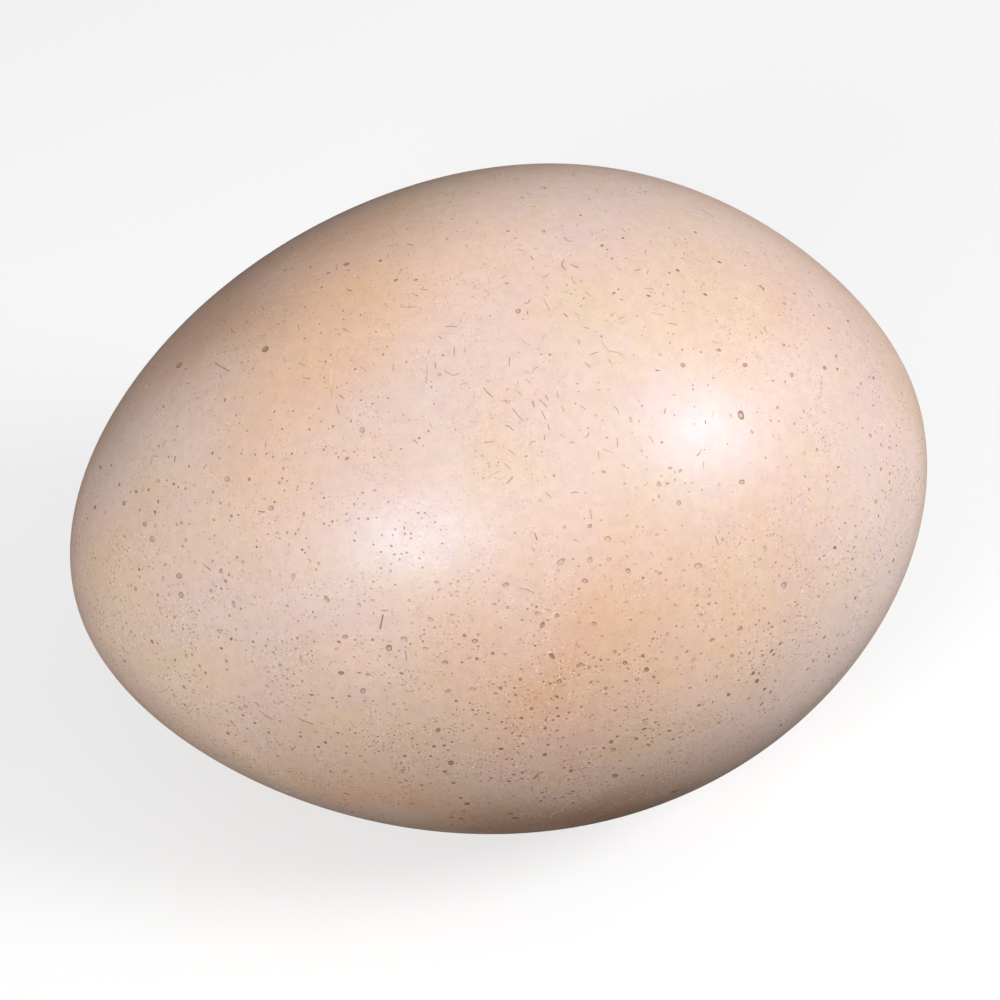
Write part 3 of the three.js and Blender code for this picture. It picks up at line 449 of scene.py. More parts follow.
# Strokes: a line of frame pixels, its half width in pixels, tone.
STROKES = [
    # left of the middle
    ([(336.5, 405.5), (338, 411), (339.3, 414)], 0.8, 0.7), ([(413.3, 440), (417.5, 443.5)], 0.9, 0.8),
    ([(258.5, 511.3), (262.5, 512), (264.7, 512)], 1.0, 1.0), ([(288, 441.2), (295, 440.8)], 0.8, -0.8),
    # the top middle
    ([(571.2, 227.3), (576, 227.3), (578.2, 223)], 0.7, 0.7), ([(466.6, 238.6), (472.2, 232.1)], 0.7, 0.6),
    ([(518, 249.4), (524, 250.8)], 0.8, 0.8), ([(530.4, 256), (533.5, 260)], 0.9, 0.8),
    ([(585.7, 292), (590.6, 296)], 1.0, 0.6), ([(484.2, 289.5), (488.7, 293.3)], 0.8, 0.5),
    ([(523.7, 302.2), (526.1, 303.7), (528.6, 302.5), (530, 299.6)], 1.0, 1.3),
    ([(555, 325.5), (557, 326.5)], 1.3, -0.9),
    # the left end and the bottom
    ([(165.7, 440.5), (163.5, 444), (162.1, 447.5)], 1.0, 1.0), ([(175.3, 456.3), (174.3, 462)], 1.3, 1.1),
    ([(152.1, 460.8), (150.5, 465)], 1.1, 0.9), ([(479.5, 811.4), (488.5, 811.6)], 0.6, -0.8),
    ([(533.7, 778.8), (536.3, 776.6), (539.2, 773.2), (542.8, 772.4)], 1.6, 1.1),
    # the upper middle
    ([(464.6, 347.3), (464.9, 354)], 0.6, 0.5), ([(578.4, 339.7), (578.9, 344.3)], 1.1, 0.6),
    ([(608, 359.1), (613.1, 364.7)], 0.7, 0.6), ([(525.3, 379), (530.4, 383.1)], 0.6, 0.6),
    ([(518.7, 381), (516.1, 385.6)], 0.6, 0.6), ([(517.7, 391.2), (521.2, 394.8)], 0.8, 0.8),
    ([(501.3, 401.4), (504.9, 399.9), (506.9, 404), (510, 400.4)], 0.8, 0.8),
    ([(545.7, 395.3), (548, 400.4)], 0.8, 0.8), ([(556.9, 391.2), (558, 397.9)], 0.8, 0.6),
    ([(547.8, 423.9), (549.3, 430)], 0.8, 0.9), ([(562, 405.5), (563.6, 411.6)], 0.8, 0.6),
    ([(580.9, 406), (585, 409.1)], 0.7, 0.8),
    ([(472.2, 422.3), (474.8, 420.8), (476.8, 424.9)], 0.6, 0.6),
    ([(617.1, 438.2), (617.7, 447.3)], 0.7, 0.7), ([(544.2, 435.1), (544.7, 439.7)], 0.9, 0.8),
    ([(529.9, 445.3), (530.4, 441.7), (535.5, 441.2)], 0.7, 0.7),
    ([(483.5, 442.8), (493.7, 441.2)], 0.6, 0.5), ([(504.4, 463.2), (510, 469.3)], 0.9, 0.6),
    ([(512.6, 476.9), (507.4, 483.1)], 1.0, 0.7), ([(572, 348.4), (578, 348)], 0.8, -0.9),
    # the upper left
    ([(388.3, 246.1), (398.5, 243.9)], 0.9, 1.0), ([(406.6, 243.6), (412.8, 245.3)], 1.0, 1.0),
    ([(343.4, 265), (345.5, 262.5), (350.5, 261.7)], 0.9, 1.1),
    ([(342.5, 270.6), (350, 270.1)], 0.9, 1.1), ([(387.6, 253.3), (387.6, 257.9)], 0.6, 0.6),
    ([(337, 264.5), (336.5, 270)], 0.8, 0.7), ([(420.4, 289), (427.6, 289.8)], 0.8, 0.9),
    ([(411.7, 293.1), (416.8, 295.9)], 0.8, 0.8), ([(342.9, 328.3), (350, 332.3)], 0.8, 0.7),
    ([(334.7, 329), (338.3, 329.8)], 0.8, 0.7), ([(302, 377.8), (310.2, 378.6)], 0.8, 0.9),
    ([(338.8, 394.6), (343.9, 398.7)], 0.8, 0.9), ([(454.3, 346.6), (454.1, 355.8)], 0.8, 0.8),
    ([(438.8, 335.9), (441.3, 338.5)], 0.8, 0.8), ([(445.9, 326.2), (457.1, 326.7)], 0.8, 0.8),
    ([(331.6, 368.6), (331.6, 382.9)], 0.8, -0.9),
    # the upper right
    ([(634.7, 270.6), (640.3, 268.9)], 0.9, 1.0), ([(651, 312), (663, 315)], 1.3, 0.3),
    ([(618.4, 318.9), (623.3, 316.8)], 0.8, 0.9), ([(668.9, 323), (677, 324.7)], 0.8, 0.8),
    ([(712.2, 341.3), (718.4, 342.9)], 0.6, 0.6),
    ([(437.2, 663.8), (441, 661.8)], 0.7, 0.8),
    ([(405.1, 651), (406.2, 656), (406.6, 660.7)], 0.7, 0.9),
    ([(419.9, 636.7), (424.8, 633.7)], 0.9, 0.8),
    ([(404.6, 690.3), (409, 691.6), (413, 691.5)], 0.8, 0.8),
    ([(254.3, 702), (257.5, 704), (259.9, 706.9)], 1.0, 1.0),
    ([(381, 610.5), (388, 610.9)], 0.6, 0.7),
    ([(778.7, 610.9), (775.9, 616)], 0.7, 0.8),
    ([(789.4, 696.1), (784.3, 701.7)], 0.7, 0.7),
    ([(523.5, 302.5), (526.5, 303.5), (529.5, 301.5), (530, 299.5)], 0.8, 1.2),
    ([(527, 311), (528, 315)], 0.7, 0.9),
    ([(530.5, 312), (533, 312.5), (535, 308.5)], 0.6, 0.9),
    ([(543.5, 299), (546, 304), (550, 311)], 0.55, 0.6),
    ([(319.4, 424.7), (323, 432.3), (326.7, 439.7)], 0.9, 0.8),
    ([(400.5, 306.8), (416.3, 307)], 0.7, 0.8),
    ([(383, 615), (380, 629)], 1.1, 1.2),
    ([(534.5, 533), (537, 539.5)], 0.9, 1.2),
    ([(215, 363), (229, 371)], 1.1, 0.9),
    ([(259.4, 710.7), (266, 715.5), (272.1, 719.6)], 1.0, 0.9),
    ([(297.7, 717.9), (303, 721), (308, 722.5), (313, 724.7)], 1.3, 1.0),
    ([(151, 683), (159, 689)], 0.9, 0.9),
    ([(342, 649.8), (346.5, 652), (351.7, 654.1)], 1.1, 1.0),
    ([(702, 209.5), (707, 213.5), (713, 217)], 1.1, 0.9),
    ([(445.3, 371.4), (449.4, 373.5), (453.9, 375.6), (458.9, 373.2)], 0.9, 0.9),
    ([(483.5, 387.7), (488, 393), (492.5, 397.2)], 0.9, 0.9),
    ([(521.5, 339.5), (526, 343.5), (530.5, 345)], 0.6, 0.6),
    ([(544.5, 335), (542.5, 340)], 0.55, 0.6),
    ([(525.3, 370.8), (531.4, 374.9), (533.5, 368.8), (537.6, 367.2)], 0.7, 0.7),
    ([(601.5, 341.8), (607.7, 350.5), (618.4, 352.6), (623.5, 355.6)], 0.7, 0.6),
    ([(539.6, 399.9), (547.2, 407)], 0.9, 0.9),
    ([(541.6, 411.1), (545.7, 419.3)], 0.8, 0.8),
    ([(532.4, 400.9), (534.2, 407)], 0.9, 0.9),
    ([(505.4, 425.4), (509, 426.5), (513.6, 430.5)], 0.8, 0.8),
    ([(513.1, 409.1), (517.1, 414.7), (522.8, 420.8)], 0.9, 0.8),
    ([(509, 450), (514.5, 454.5)], 0.8, 0.7),
    ([(603, 449), (613, 453)], 0.6, 0.45),
    ([(598, 451), (599, 459)], 0.6, 0.4),
    ([(564.3, 259.4), (561.5, 263.8), (563.2, 268), (566.7, 270.1)], 0.9, 0.9),
    ([(571.4, 264.3), (574.5, 266.3), (577.8, 267.5)], 1.2, 0.9),
    ([(542.7, 277.3), (547, 275.2), (550.3, 272.4)], 1.1, 0.6),
    ([(499.8, 278.2), (503, 277.5), (505.4, 275.3)], 0.8, 0.7),
    ([(563.9, 313.5), (567.3, 317.1)], 1.1, 1.0),
    ([(584.3, 327.5), (588.7, 328.2)], 0.9, 0.7),
    ([(589.6, 355), (597.2, 351.9)], 0.8, 0.7),
    ([(585, 362.7), (590.6, 367.8)], 0.9, 0.8),
    ([(429, 422), (432, 428)], 0.6, 0.4),
    ([(429.6, 348.7), (428.4, 354.3)], 0.8, 0.8),
    ([(509.5, 357.6), (509.3, 365.7)], 0.7, 0.7),
    ([(808.3, 290.9), (812.5, 293.6)], 1.0, 1.0),
    ([(827.6, 302), (831.5, 306.7)], 1.0, 1.0),
    ([(427, 367), (426.3, 383.4)], 0.6, 0.6),
    ([(331, 388), (332, 398)], 0.55, 0.5),
]

# Small round pits: where (frame pixels), radius in pixels, tone.
DOTS = [
    # left of the middle
    (372.4, 403.6, 1.3, 1.0), (309.4, 418, 1.1, 0.7), (309.4, 429.3, 1.4, 1.0), (328.3, 428.8, 1.2, 0.7),
    (332.9, 426.4, 1.4, 1.0), (376, 411.4, 1.0, 0.6), (373, 417, 1.0, 0.6), (377.8, 417, 1.0, 0.6),
    (403.6, 415, 1.2, 0.6), (408.7, 419.8, 1.2, 0.5), (416.6, 419.6, 1.0, 0.5), (422.4, 416.3, 1.0, 0.5),
    (361, 436.4, 1.0, 0.6), (366.5, 430.8, 1.0, 0.5), (419.2, 438, 1.6, 0.9), (455.6, 429.3, 1.2, 0.6),
    (323.7, 449.7, 1.4, 1.0), (326, 446.6, 1.2, 0.7), (332.4, 447.9, 1.1, 0.5), (335.7, 453.5, 1.3, 0.8),
    (338.3, 457.3, 1.3, 0.9), (390.8, 450.2, 1.1, 0.5), (401, 448.9, 1.2, 0.8), (312.1, 483.3, 1.3, 1.0),
    (306, 482.3, 1.0, 0.6), (311, 488.6, 1.0, 0.7), (324, 497.9, 1.4, 0.9), (321, 493.4, 1.0, 0.5),
    (329.6, 525.5, 1.1, 0.8), (323.8, 523.7, 1.3, 0.9), (274.4, 411.5, 1.5, 1.0), (270.4, 419.9, 1.1, 0.7),
    (272.7, 456.8, 1.4, 0.8), (291.7, 453.6, 1.5, 1.1), (305, 452.8, 1.8, 0.4), (287.1, 481.1, 1.2, 0.9),
    (284.4, 490.6, 1.3, 0.9), (296.9, 489.8, 1.1, 0.9), (274.5, 502, 1.4, 1.3), (255, 510.2, 1.1, 0.6),
    (295.4, 533.9, 1.3, 1.0), (276.9, 532.7, 1.2, 1.0), (275.7, 537.2, 1.0, 0.7), (279.3, 538.3, 1.0, 0.7),
    (268.4, 534.5, 1.3, 0.8), (256.6, 540.8, 1.2, 0.8), (256.6, 546.9, 1.5, 1.3), (245.8, 530.6, 1.2, 0.5),
    (306.3, 538, 1.2, 0.8), (289, 544.1, 1.1, 0.7), (302.2, 549.7, 1.5, 1.2), (305, 552.8, 1.2, 1.0),
    (241.3, 453.6, 1.3, 0.8), (242.6, 450, 1.0, 0.6),
    # the top middle
    (534, 206.3, 1.3, 0.9), (532.7, 213.3, 1.2, 0.4), (515.6, 215.3, 1.0, 0.5), (503.4, 223.3, 1.0, 0.5),
    (561.8, 225.5, 1.2, 0.8), (481.4, 231.6, 1.1, 0.5), (463.9, 231.4, 1.1, 0.6), (490.1, 240.6, 1.0, 0.6),
    (504.4, 246.9, 1.1, 0.7), (555.9, 236.9, 1.2, 0.6), (545.5, 266.3, 1.0, 0.6), (504.6, 265.6, 1.1, 0.5),
    (495.4, 267.7, 1.3, 0.45), (529.9, 284.9, 1.0, 0.6), (580.9, 306.1, 1.6, 0.4), (570.7, 255.4, 1.1, 0.7),
    (474.6, 289.1, 1.0, 0.5), (477.9, 289.1, 1.0, 0.6), (472.4, 296.6, 1.1, 0.6), (549.6, 316.8, 1.2, 0.5),
    (463.9, 313, 1.2, 0.6), (489.9, 315.8, 1.1, 0.8),
    # the right shoulder
    (779.4, 284.3, 1.3, 0.7), (813.7, 288.4, 1.0, 1.0), (839.9, 293.1, 0.9, 0.8), (791.1, 309.4, 1.4, 0.8),
    (843, 324.4, 1.1, 0.7), (805.2, 330, 1.1, 0.7), (798.4, 334.3, 1.1, 0.6), (772.6, 335.1, 1.3, 0.6),
    (830.7, 340.2, 1.3, 0.9), (839.2, 337.3, 1.1, 0.7), (788.9, 346, 1.2, 0.9), (794.5, 344.5, 1.0, 0.6),
    (801.6, 343.8, 1.2, 0.6), (796.5, 348.1, 1.1, 0.6), (799.4, 355.5, 1.1, 0.7), (830.2, 362.7, 0.9, 0.5),
    (845.7, 373.7, 1.0, 0.9), (845.7, 369.8, 0.9, 0.5), (785.1, 382, 1.2, 0.6),
    (860.8, 369.8, 1.2, 0.5), (857.8, 387.7, 1.3, 0.8), (855.2, 334.1, 1.1, 0.5),
    # the bottom
    (438, 771.1, 1.3, 0.6), (522.3, 811.4, 1.2, 0.7), (518, 808.4, 1.0, 0.6), (478.5, 760.4, 1.1, 0.8),
    (532.3, 772.1, 1.2, 0.9), (571.3, 765, 1.1, 0.9), (573.2, 783.1, 1.2, 0.8), (532.3, 789, 1.2, 0.9),
    (532.9, 792, 1.1, 0.8), (526.7, 792.6, 1.1, 0.7), (539.9, 790.5, 1.1, 0.6), (526.4, 803, 1.0, 0.5),
    (554, 811.9, 1.0, 0.6), (587.1, 765, 1.0, 0.8), (589.7, 777.8, 1.2, 1.0), (587.7, 783.4, 1.1, 0.8),
    (589.2, 790.5, 1.3, 1.1), (582, 814, 1.1, 1.0),
    # the left end
    (172.3, 400.7, 1.2, 0.8), (189, 408.9, 1.1, 0.5), (234.6, 397.9, 1.1, 0.8), (235.9, 415.3, 1.5, 0.8),
    (238.9, 423.2, 1.2, 0.7), (137.7, 414.8, 1.1, 0.7), (141.2, 414, 1.1, 0.7), (145.8, 413, 1.2, 0.6),
    (151.4, 415, 1.0, 0.6), (156.3, 414.3, 1.0, 0.6), (176.4, 415, 1.0, 0.8), (183.3, 428.3, 1.0, 0.9),
    (149.4, 426.2, 1.2, 0.5), (146.3, 437.4, 1.1, 0.5), (162.1, 438.5, 1.0, 0.5), (151.4, 448.7, 0.9, 0.7),
    (145.3, 456.8, 1.0, 0.5), (206, 465.7, 1.0, 1.1), (204, 467.6, 1.1, 1.0), (219.8, 447.7, 1.3, 0.6),
    (229.5, 447.1, 1.2, 1.0), (231, 426.2, 1.0, 0.5), (232.2, 482.3, 1.0, 0.6), (182.3, 481.3, 0.9, 0.6),
    (178.2, 487.1, 1.3, 1.2), (166.7, 486.4, 1.1, 0.7), (148.9, 477.4, 1.3, 0.6), (135.6, 471.6, 0.9, 0.7),
    (135.1, 475.2, 1.0, 0.7), (120.8, 474.7, 1.0, 0.6), (129.5, 483.9, 1.1, 0.5), (120.8, 492, 1.2, 0.5),
    (181, 499.7, 1.0, 0.6), (207, 503.3, 1.1, 0.7), (229.5, 520.4, 1.2, 0.8), (163.2, 525.2, 1.3, 0.5),
    (176.6, 524.7, 1.5, 0.8), (83.9, 525.7, 0.9, 0.8), (119.6, 525.2, 1.0, 0.5), (117.8, 530.3, 1.1, 0.7),
    (108.6, 529.8, 1.0, 0.5), (131.8, 533.9, 1.0, 0.6), (119.3, 548.7, 1.1, 0.6),
    # the upper middle
    (538.1, 349.2, 1.1, 0.5), (541.6, 354.2, 1.1, 0.9), (595.7, 331.5, 1.0, 0.8), (598.3, 382.6, 1.2, 0.6),
    (598.8, 390.2, 1.1, 0.7), (608.2, 389.4, 1.2, 0.6), (595.7, 415.5, 1.3, 0.5), (488.1, 381, 1.2, 0.6),
    (469.7, 387.9, 1.2, 0.5), (492.1, 418, 1.2, 0.5), (575.3, 403.5, 1.1, 0.8), (489.1, 467.2, 1.1, 0.5),
    (529.9, 346, 1.2, 0.6),
    # the upper left
    (431.1, 247.7, 0.9, 0.6), (368.9, 255.3, 1.1, 0.6), (344.9, 275.2, 1.0, 0.8), (377.8, 272.7, 0.8, 0.5),
    (394.4, 301, 0.9, 0.8), (420.9, 308.9, 0.9, 0.9), (313.5, 312.7, 0.9, 1.0), (319.4, 323.7, 1.0, 1.0),
    (312.2, 330.3, 0.9, 0.9), (388.8, 324.5, 1.0, 0.9), (375.3, 323.7, 0.8, 0.6), (368.4, 326.7, 1.0, 0.6),
    (426.5, 319.1, 0.9, 0.7), (321.9, 349.7, 1.0, 0.7), (426.5, 359.9, 0.9, 0.6), (419.9, 284.9, 1.0, 0.7),
    # the upper right
    (602.9, 229.6, 1.1, 0.9), (626, 258.2, 1.2, 0.8), (618.4, 289.3, 1.6, 0.9), (610.7, 279.6, 1.0, 0.6),
    (650, 241.3, 1.0, 0.8), (685.2, 239.1, 1.2, 1.1), (678.4, 239.1, 1.0, 0.9), (707.7, 248, 1.2, 0.7),
    (712.8, 259, 1.0, 0.9), (682.1, 275.7, 1.0, 0.6), (695.9, 281.1, 1.1, 0.8), (701, 286.5, 1.0, 0.9),
    (715.3, 281.6, 1.6, 0.5), (672.4, 303.3, 0.7, 0.7), (606.1, 320.9, 1.0, 0.9), (713.8, 313.5, 0.9, 1.0),
    (716.8, 320.4, 1.0, 0.9), (644.6, 327, 0.9, 0.9), (641.8, 335.2, 0.9, 0.7), (673, 333.9, 1.0, 1.0),
    (669.7, 342.9, 1.2, 0.6), (693.4, 349, 1.0, 0.9), (749.5, 335.2, 0.9, 0.9), (754, 302, 1.1, 0.5),
    (753, 309.2, 1.0, 0.5), (754, 315.3, 1.3, 0.4),
    # round the left highlight
    (391.5, 546, 1.5, 0.8), (392.8, 535.3, 1.1, 0.6), (395.3, 529.4, 1.3, 0.6), (404.8, 533.8, 1.4, 0.7),
    (411, 533.7, 1.3, 0.65), (411, 538.4, 1.2, 0.6), (418, 513, 1.3, 0.75), (424.9, 512.9, 1.3, 0.75),
    (422, 518, 1.1, 0.55), (435, 522.2, 1.2, 0.6), (435.6, 515.6, 1.0, 0.5), (440.7, 529.6, 1.1, 0.6),
    (380.7, 552, 1.3, 0.7), (401.4, 553.9, 1.2, 0.6), (406.7, 552.7, 1.3, 0.6), (399.7, 559.5, 1.2, 0.6),
    (381, 568.2, 1.4, 0.55), (390.7, 571.2, 1.5, 0.55), (422.3, 567.7, 1.4, 0.6), (419.5, 558.2, 1.3, 0.6),
    (423.7, 552.3, 1.2, 0.5), (352, 581.6, 1.4, 0.55), (354.5, 540.6, 1.4, 0.9), (355.2, 532.7, 1.1, 0.7),
    (373.4, 544.7, 1.2, 0.8), (354, 504.2, 1.5, 0.6), (364, 503.9, 1.2, 0.6), (357.8, 498.6, 1.1, 0.6),
    (388.2, 502, 1.4, 0.6), (346.3, 514, 1.4, 0.8), (346.3, 520.7, 1.1, 0.6), (376.4, 517.9, 1.1, 0.5),
    (458, 581.6, 1.6, 0.5), (432.5, 599, 1.2, 0.6), (474.4, 601.8, 1.2, 0.6), (342.7, 600, 1.2, 0.5),
    (483.6, 478, 1.2, 0.6), (364.2, 601.3, 1.6, 0.45),
    # round the right highlight
    (660.3, 354.9, 1.8, 0.45), (633.6, 355, 1.3, 0.5), (718, 355, 1.1, 0.5), (737, 359.8, 1.2, 0.5),
    (713.3, 377.7, 1.1, 0.9), (692.9, 384.9, 1.0, 0.6), (692.9, 389.3, 1.2, 0.8), (642, 406, 1.3, 0.9),
    (638.7, 401.3, 1.0, 0.5), (694.3, 406.7, 1.1, 0.5), (674.4, 415, 1.0, 0.9), (777.5, 407.5, 2.0, 0.7),
    (773, 380.7, 1.7, 0.6), (766.4, 374, 1.4, 0.5), (752, 388.8, 1.4, 0.4), (770.8, 420.5, 1.7, 0.5),
    (779, 421, 1.5, 0.5), (773, 435.5, 1.1, 0.6), (779.4, 439, 1.0, 0.6), (661.8, 442.4, 1.5, 0.9),
    (704.6, 449.8, 0.9, 0.8), (641.7, 450.9, 1.4, 0.5), (674.8, 472.2, 1.2, 0.7), (669.7, 472.2, 1.1, 0.6),
    (661.2, 476, 1.3, 0.5), (675, 479.8, 1.3, 0.6), (684.9, 483.4, 1.2, 0.6), (658.7, 496.4, 1.7, 0.6),
    (675.9, 506.2, 1.0, 0.6), (689, 491.8, 1.1, 0.5), (627.9, 468, 1.3, 0.5), (646.2, 469.6, 1.2, 0.4),
    (627, 515.4, 1.3, 0.6), (765.5, 457.7, 1.5, 0.75),
    # the blunt end
    (750.2, 463.2, 0.9, 0.6), (790.7, 465.5, 1.1, 0.7), (777.8, 467.3, 1.1, 0.5), (827.8, 481.3, 1.5, 0.6),
    (834.6, 481.8, 1.1, 0.6), (883.4, 461.7, 1.1, 0.9), (798.2, 496, 1.3, 0.65), (773.7, 501, 1.2, 0.35),
    (880.8, 506.8, 1.1, 0.7), (868.9, 511, 1.1, 0.6), (860.4, 510.2, 1.2, 0.4), (825.5, 519.6, 1.3, 0.6),
    (796.4, 521.6, 1.5, 0.35), (832.6, 526.5, 1.0, 0.5), (870, 530.8, 1.1, 0.9), (841, 541.3, 1.2, 0.9),
    (828, 546.3, 1.2, 0.6), (834.7, 552.8, 1.2, 0.4), (848.9, 545.6, 1.1, 0.6), (856, 552, 1.1, 0.9),
    (860, 552.5, 1.0, 0.7), (782.3, 546.8, 0.9, 0.8), (817.8, 554.8, 1.0, 0.6), (838.7, 564, 1.2, 0.9),
    (782, 566, 1.1, 0.9), (771.6, 568, 1.1, 0.5), (773.9, 581.6, 1.6, 0.5), (755.3, 567.6, 1.2, 0.4),
    (813.5, 571, 1.2, 0.6), (862.4, 576, 1.4, 0.8), (842, 572, 1.1, 0.6), (872, 573.5, 1.2, 0.6),
    # the pointed end
    (189, 552, 1.4, 0.4), (204.8, 532, 1.1, 0.7), (197.9, 534.3, 1.0, 0.7), (209.3, 539, 1.3, 0.5),
    (214.5, 543, 1.1, 0.5), (227.4, 588.7, 1.1, 0.9), (143.3, 566.2, 1.1, 0.5), (173.7, 584.6, 1.1, 0.6),
    (240.7, 608.6, 1.7, 0.9), (245.3, 607.6, 0.9, 0.7), (211.8, 619.5, 1.2, 0.7), (211, 627.4, 1.3, 0.5),
    (187.7, 625, 1.2, 0.6), (180, 612, 1.2, 0.4), (144.3, 612, 1.3, 0.4), (241.7, 641, 1.2, 0.9),
    (245.6, 628, 1.1, 0.6), (256.5, 633.4, 1.3, 0.6), (246, 650, 1.2, 0.8), (276.4, 634, 1.1, 0.7),
    (278, 603, 1.2, 0.4), (142.8, 643.8, 1.2, 0.7), (211.6, 676, 1.2, 0.5), (256.5, 547, 1.2, 1.0),
    (256.8, 540.5, 1.0, 0.6), (282.3, 589.5, 1.1, 0.8), (276.6, 535, 1.1, 0.6), (212, 641, 1.3, 0.4),
    (224.4, 642.8, 1.2, 0.6), (245.6, 620.8, 1.0, 0.6),
    # the warm middle
    (575.8, 612, 1.1, 0.8), (591.8, 613.6, 1.7, 0.4), (579, 623, 2.1, 0.3), (622, 611.5, 1.3, 0.6),
    (655, 632, 1.6, 0.7), (660.8, 635.5, 1.2, 0.7), (653, 638.8, 1.9, 0.8), (651.3, 642, 1.2, 0.9),
    (657, 642.6, 1.0, 0.6), (664.4, 639.8, 1.0, 0.6), (589, 655, 1.3, 0.6), (628, 648.5, 1.2, 0.7),
    (629, 644.4, 1.4, 0.6), (628.9, 652.8, 1.0, 0.7), (634.3, 660.4, 1.4, 0.6), (657.4, 675, 1.7, 0.6),
    (641.6, 680, 1.0, 0.8), (639.4, 683.7, 1.1, 0.7), (600.8, 666.5, 1.1, 0.8), (598.8, 672.8, 1.0, 0.7),
    (605.7, 673.8, 1.0, 0.7), (619.2, 666.8, 1.1, 0.7), (617, 663.5, 1.0, 0.5), (578.9, 675.5, 1.4, 0.7),
    (590.6, 682.4, 2.3, 0.75), (562.2, 686.2, 1.4, 0.6), (561, 668.7, 1.4, 0.7), (600.6, 690.8, 1.1, 0.8),
    (583.3, 696.4, 1.0, 0.8), (576.8, 696.4, 0.9, 0.7), (592.3, 695.6, 1.0, 0.6), (595.4, 692.7, 1.0, 0.6),
    (648.8, 701.7, 1.1, 0.9), (610.2, 709.4, 1.3, 0.7), (604.7, 706.8, 1.5, 0.4), (589.6, 702.8, 1.6, 0.35),
    (605.4, 721.4, 1.2, 0.6), (609.7, 722, 1.2, 0.9), (624, 720.4, 1.1, 0.9), (638, 729.6, 1.2, 0.7),
    (706.2, 680.6, 1.5, 0.8), (681, 686.7, 1.2, 0.5), (687, 651.5, 1.9, 0.8), (660.3, 647.4, 1.0, 0.7),
    (662.9, 697.7, 1.1, 0.6), (718.7, 647, 1.5, 0.7), (592, 715.8, 1.9, 0.4),
    # the lower left
    (332.7, 621.2, 0.9, 0.9), (331, 626.2, 0.9, 0.6), (343.4, 615.2, 0.8, 0.8), (337.8, 615.3, 1.1, 0.5),
    (323.2, 634.2, 1.1, 0.7), (337.7, 635.2, 1.2, 0.5), (352.2, 630.6, 0.9, 0.5), (358.9, 661.7, 0.9, 0.7),
    (375.4, 674, 0.8, 0.7), (380.6, 648.6, 0.8, 0.7), (384.6, 689.8, 0.9, 1.2), (331.3, 690, 1.0, 0.7),
    (366.8, 698.8, 0.8, 0.6), (376.5, 704.6, 0.9, 1.0), (388, 698, 0.8, 0.7), (362.1, 709.7, 0.9, 0.8),
    (353.3, 725.3, 0.9, 1.0), (326.2, 729.1, 1.0, 1.0), (246.1, 713.3, 0.9, 0.7), (284.4, 750, 1.1, 0.9),
    (314.8, 755.1, 1.3, 0.9), (321.1, 752.6, 1.1, 0.7), (368.6, 736.7, 0.9, 1.2), (372.7, 735.5, 0.8, 1.3),
    (391.5, 729.3, 1.0, 0.9), (392, 743.1, 0.8, 1.0), (330.8, 737.2, 1.0, 0.9), (285.4, 611.4, 1.1, 0.6),
    (267.9, 619.1, 1.3, 0.6), (287.4, 631.1, 0.8, 0.9), (284.7, 632.4, 1.0, 0.6), (291, 633.2, 0.8, 0.7),
    (290.7, 639.1, 0.8, 0.8), (249.2, 662.2, 0.8, 0.6), (297.7, 679.1, 0.9, 0.6), (280.8, 685.7, 1.2, 0.5),
    (306.8, 661.2, 0.8, 0.6), (279.3, 698.5, 0.8, 0.7), (309.4, 709.7, 0.9, 0.5), (330.3, 609.7, 0.9, 0.6),
    (335.4, 609.4, 0.9, 0.6), (339, 606.1, 0.9, 0.6), (293.6, 619.1, 1.2, 0.35), (277.8, 619.9, 0.8, 0.5),
    (349.5, 687, 0.8, 0.7), (377.8, 630.6, 0.8, 0.6), (389.8, 654.6, 1.0, 0.6),
    # the lower middle
    (405.3, 647.4, 1.0, 1.1), (415.8, 654.6, 1.2, 0.6), (420.9, 607.1, 0.8, 0.6), (458.4, 621.4, 1.1, 0.8),
    (462.8, 647.4, 1.1, 0.6), (454.1, 647.8, 0.9, 0.5), (493.7, 643.9, 1.1, 0.8), (484.4, 662.1, 1.2, 0.9),
    (505.3, 618.4, 1.0, 0.5), (498.2, 618.9, 0.7, 0.4), (531.9, 604.9, 1.2, 0.8), (547.8, 609.8, 1.3, 0.8),
    (548, 620.4, 1.3, 0.7), (498.5, 601.2, 1.6, 0.5), (529.8, 632.7, 0.8, 0.9), (538.6, 641.6, 0.9, 1.0),
    (551.2, 650.4, 0.9, 0.7), (527.8, 661.9, 1.2, 0.6), (532.3, 664.3, 1.2, 0.9), (510, 676.2, 1.0, 1.0),
    (503.9, 676.5, 1.2, 0.6), (510, 680.6, 0.8, 0.9), (508.2, 694.7, 1.2, 0.8), (504.6, 692.3, 1.0, 0.7),
    (541, 674, 1.3, 0.8), (553.1, 695.9, 0.9, 0.8), (428.6, 689, 1.0, 0.8), (452, 673.5, 1.3, 0.7),
    (477.9, 710.5, 1.2, 1.0), (494.9, 714.8, 1.2, 1.0), (515.1, 718.6, 1.1, 1.0), (520.4, 724, 0.9, 0.9),
    (546.9, 717.3, 1.0, 0.9), (549.8, 712.8, 0.9, 1.0), (541.1, 730.1, 0.8, 0.9), (550.7, 730.3, 1.1, 1.1),
    (527.3, 736.4, 0.9, 1.2), (446.9, 728.1, 0.8, 0.9), (455.6, 727.6, 1.3, 0.6), (411.2, 741.3, 1.0, 0.7),
    (413, 746.9, 1.1, 1.3), (437.8, 759.2, 1.1, 1.5), (455.1, 755.6, 0.9, 1.2), (447.4, 754.3, 0.7, 0.9),
    (444.6, 712.8, 0.9, 0.8), (440.6, 716.8, 0.8, 0.6), (486, 706.6, 0.9, 0.8), (463.8, 701, 0.7, 0.6),
    (481.1, 687.6, 0.8, 0.6), (440.3, 653.3, 1.0, 0.7),
    # the lower right
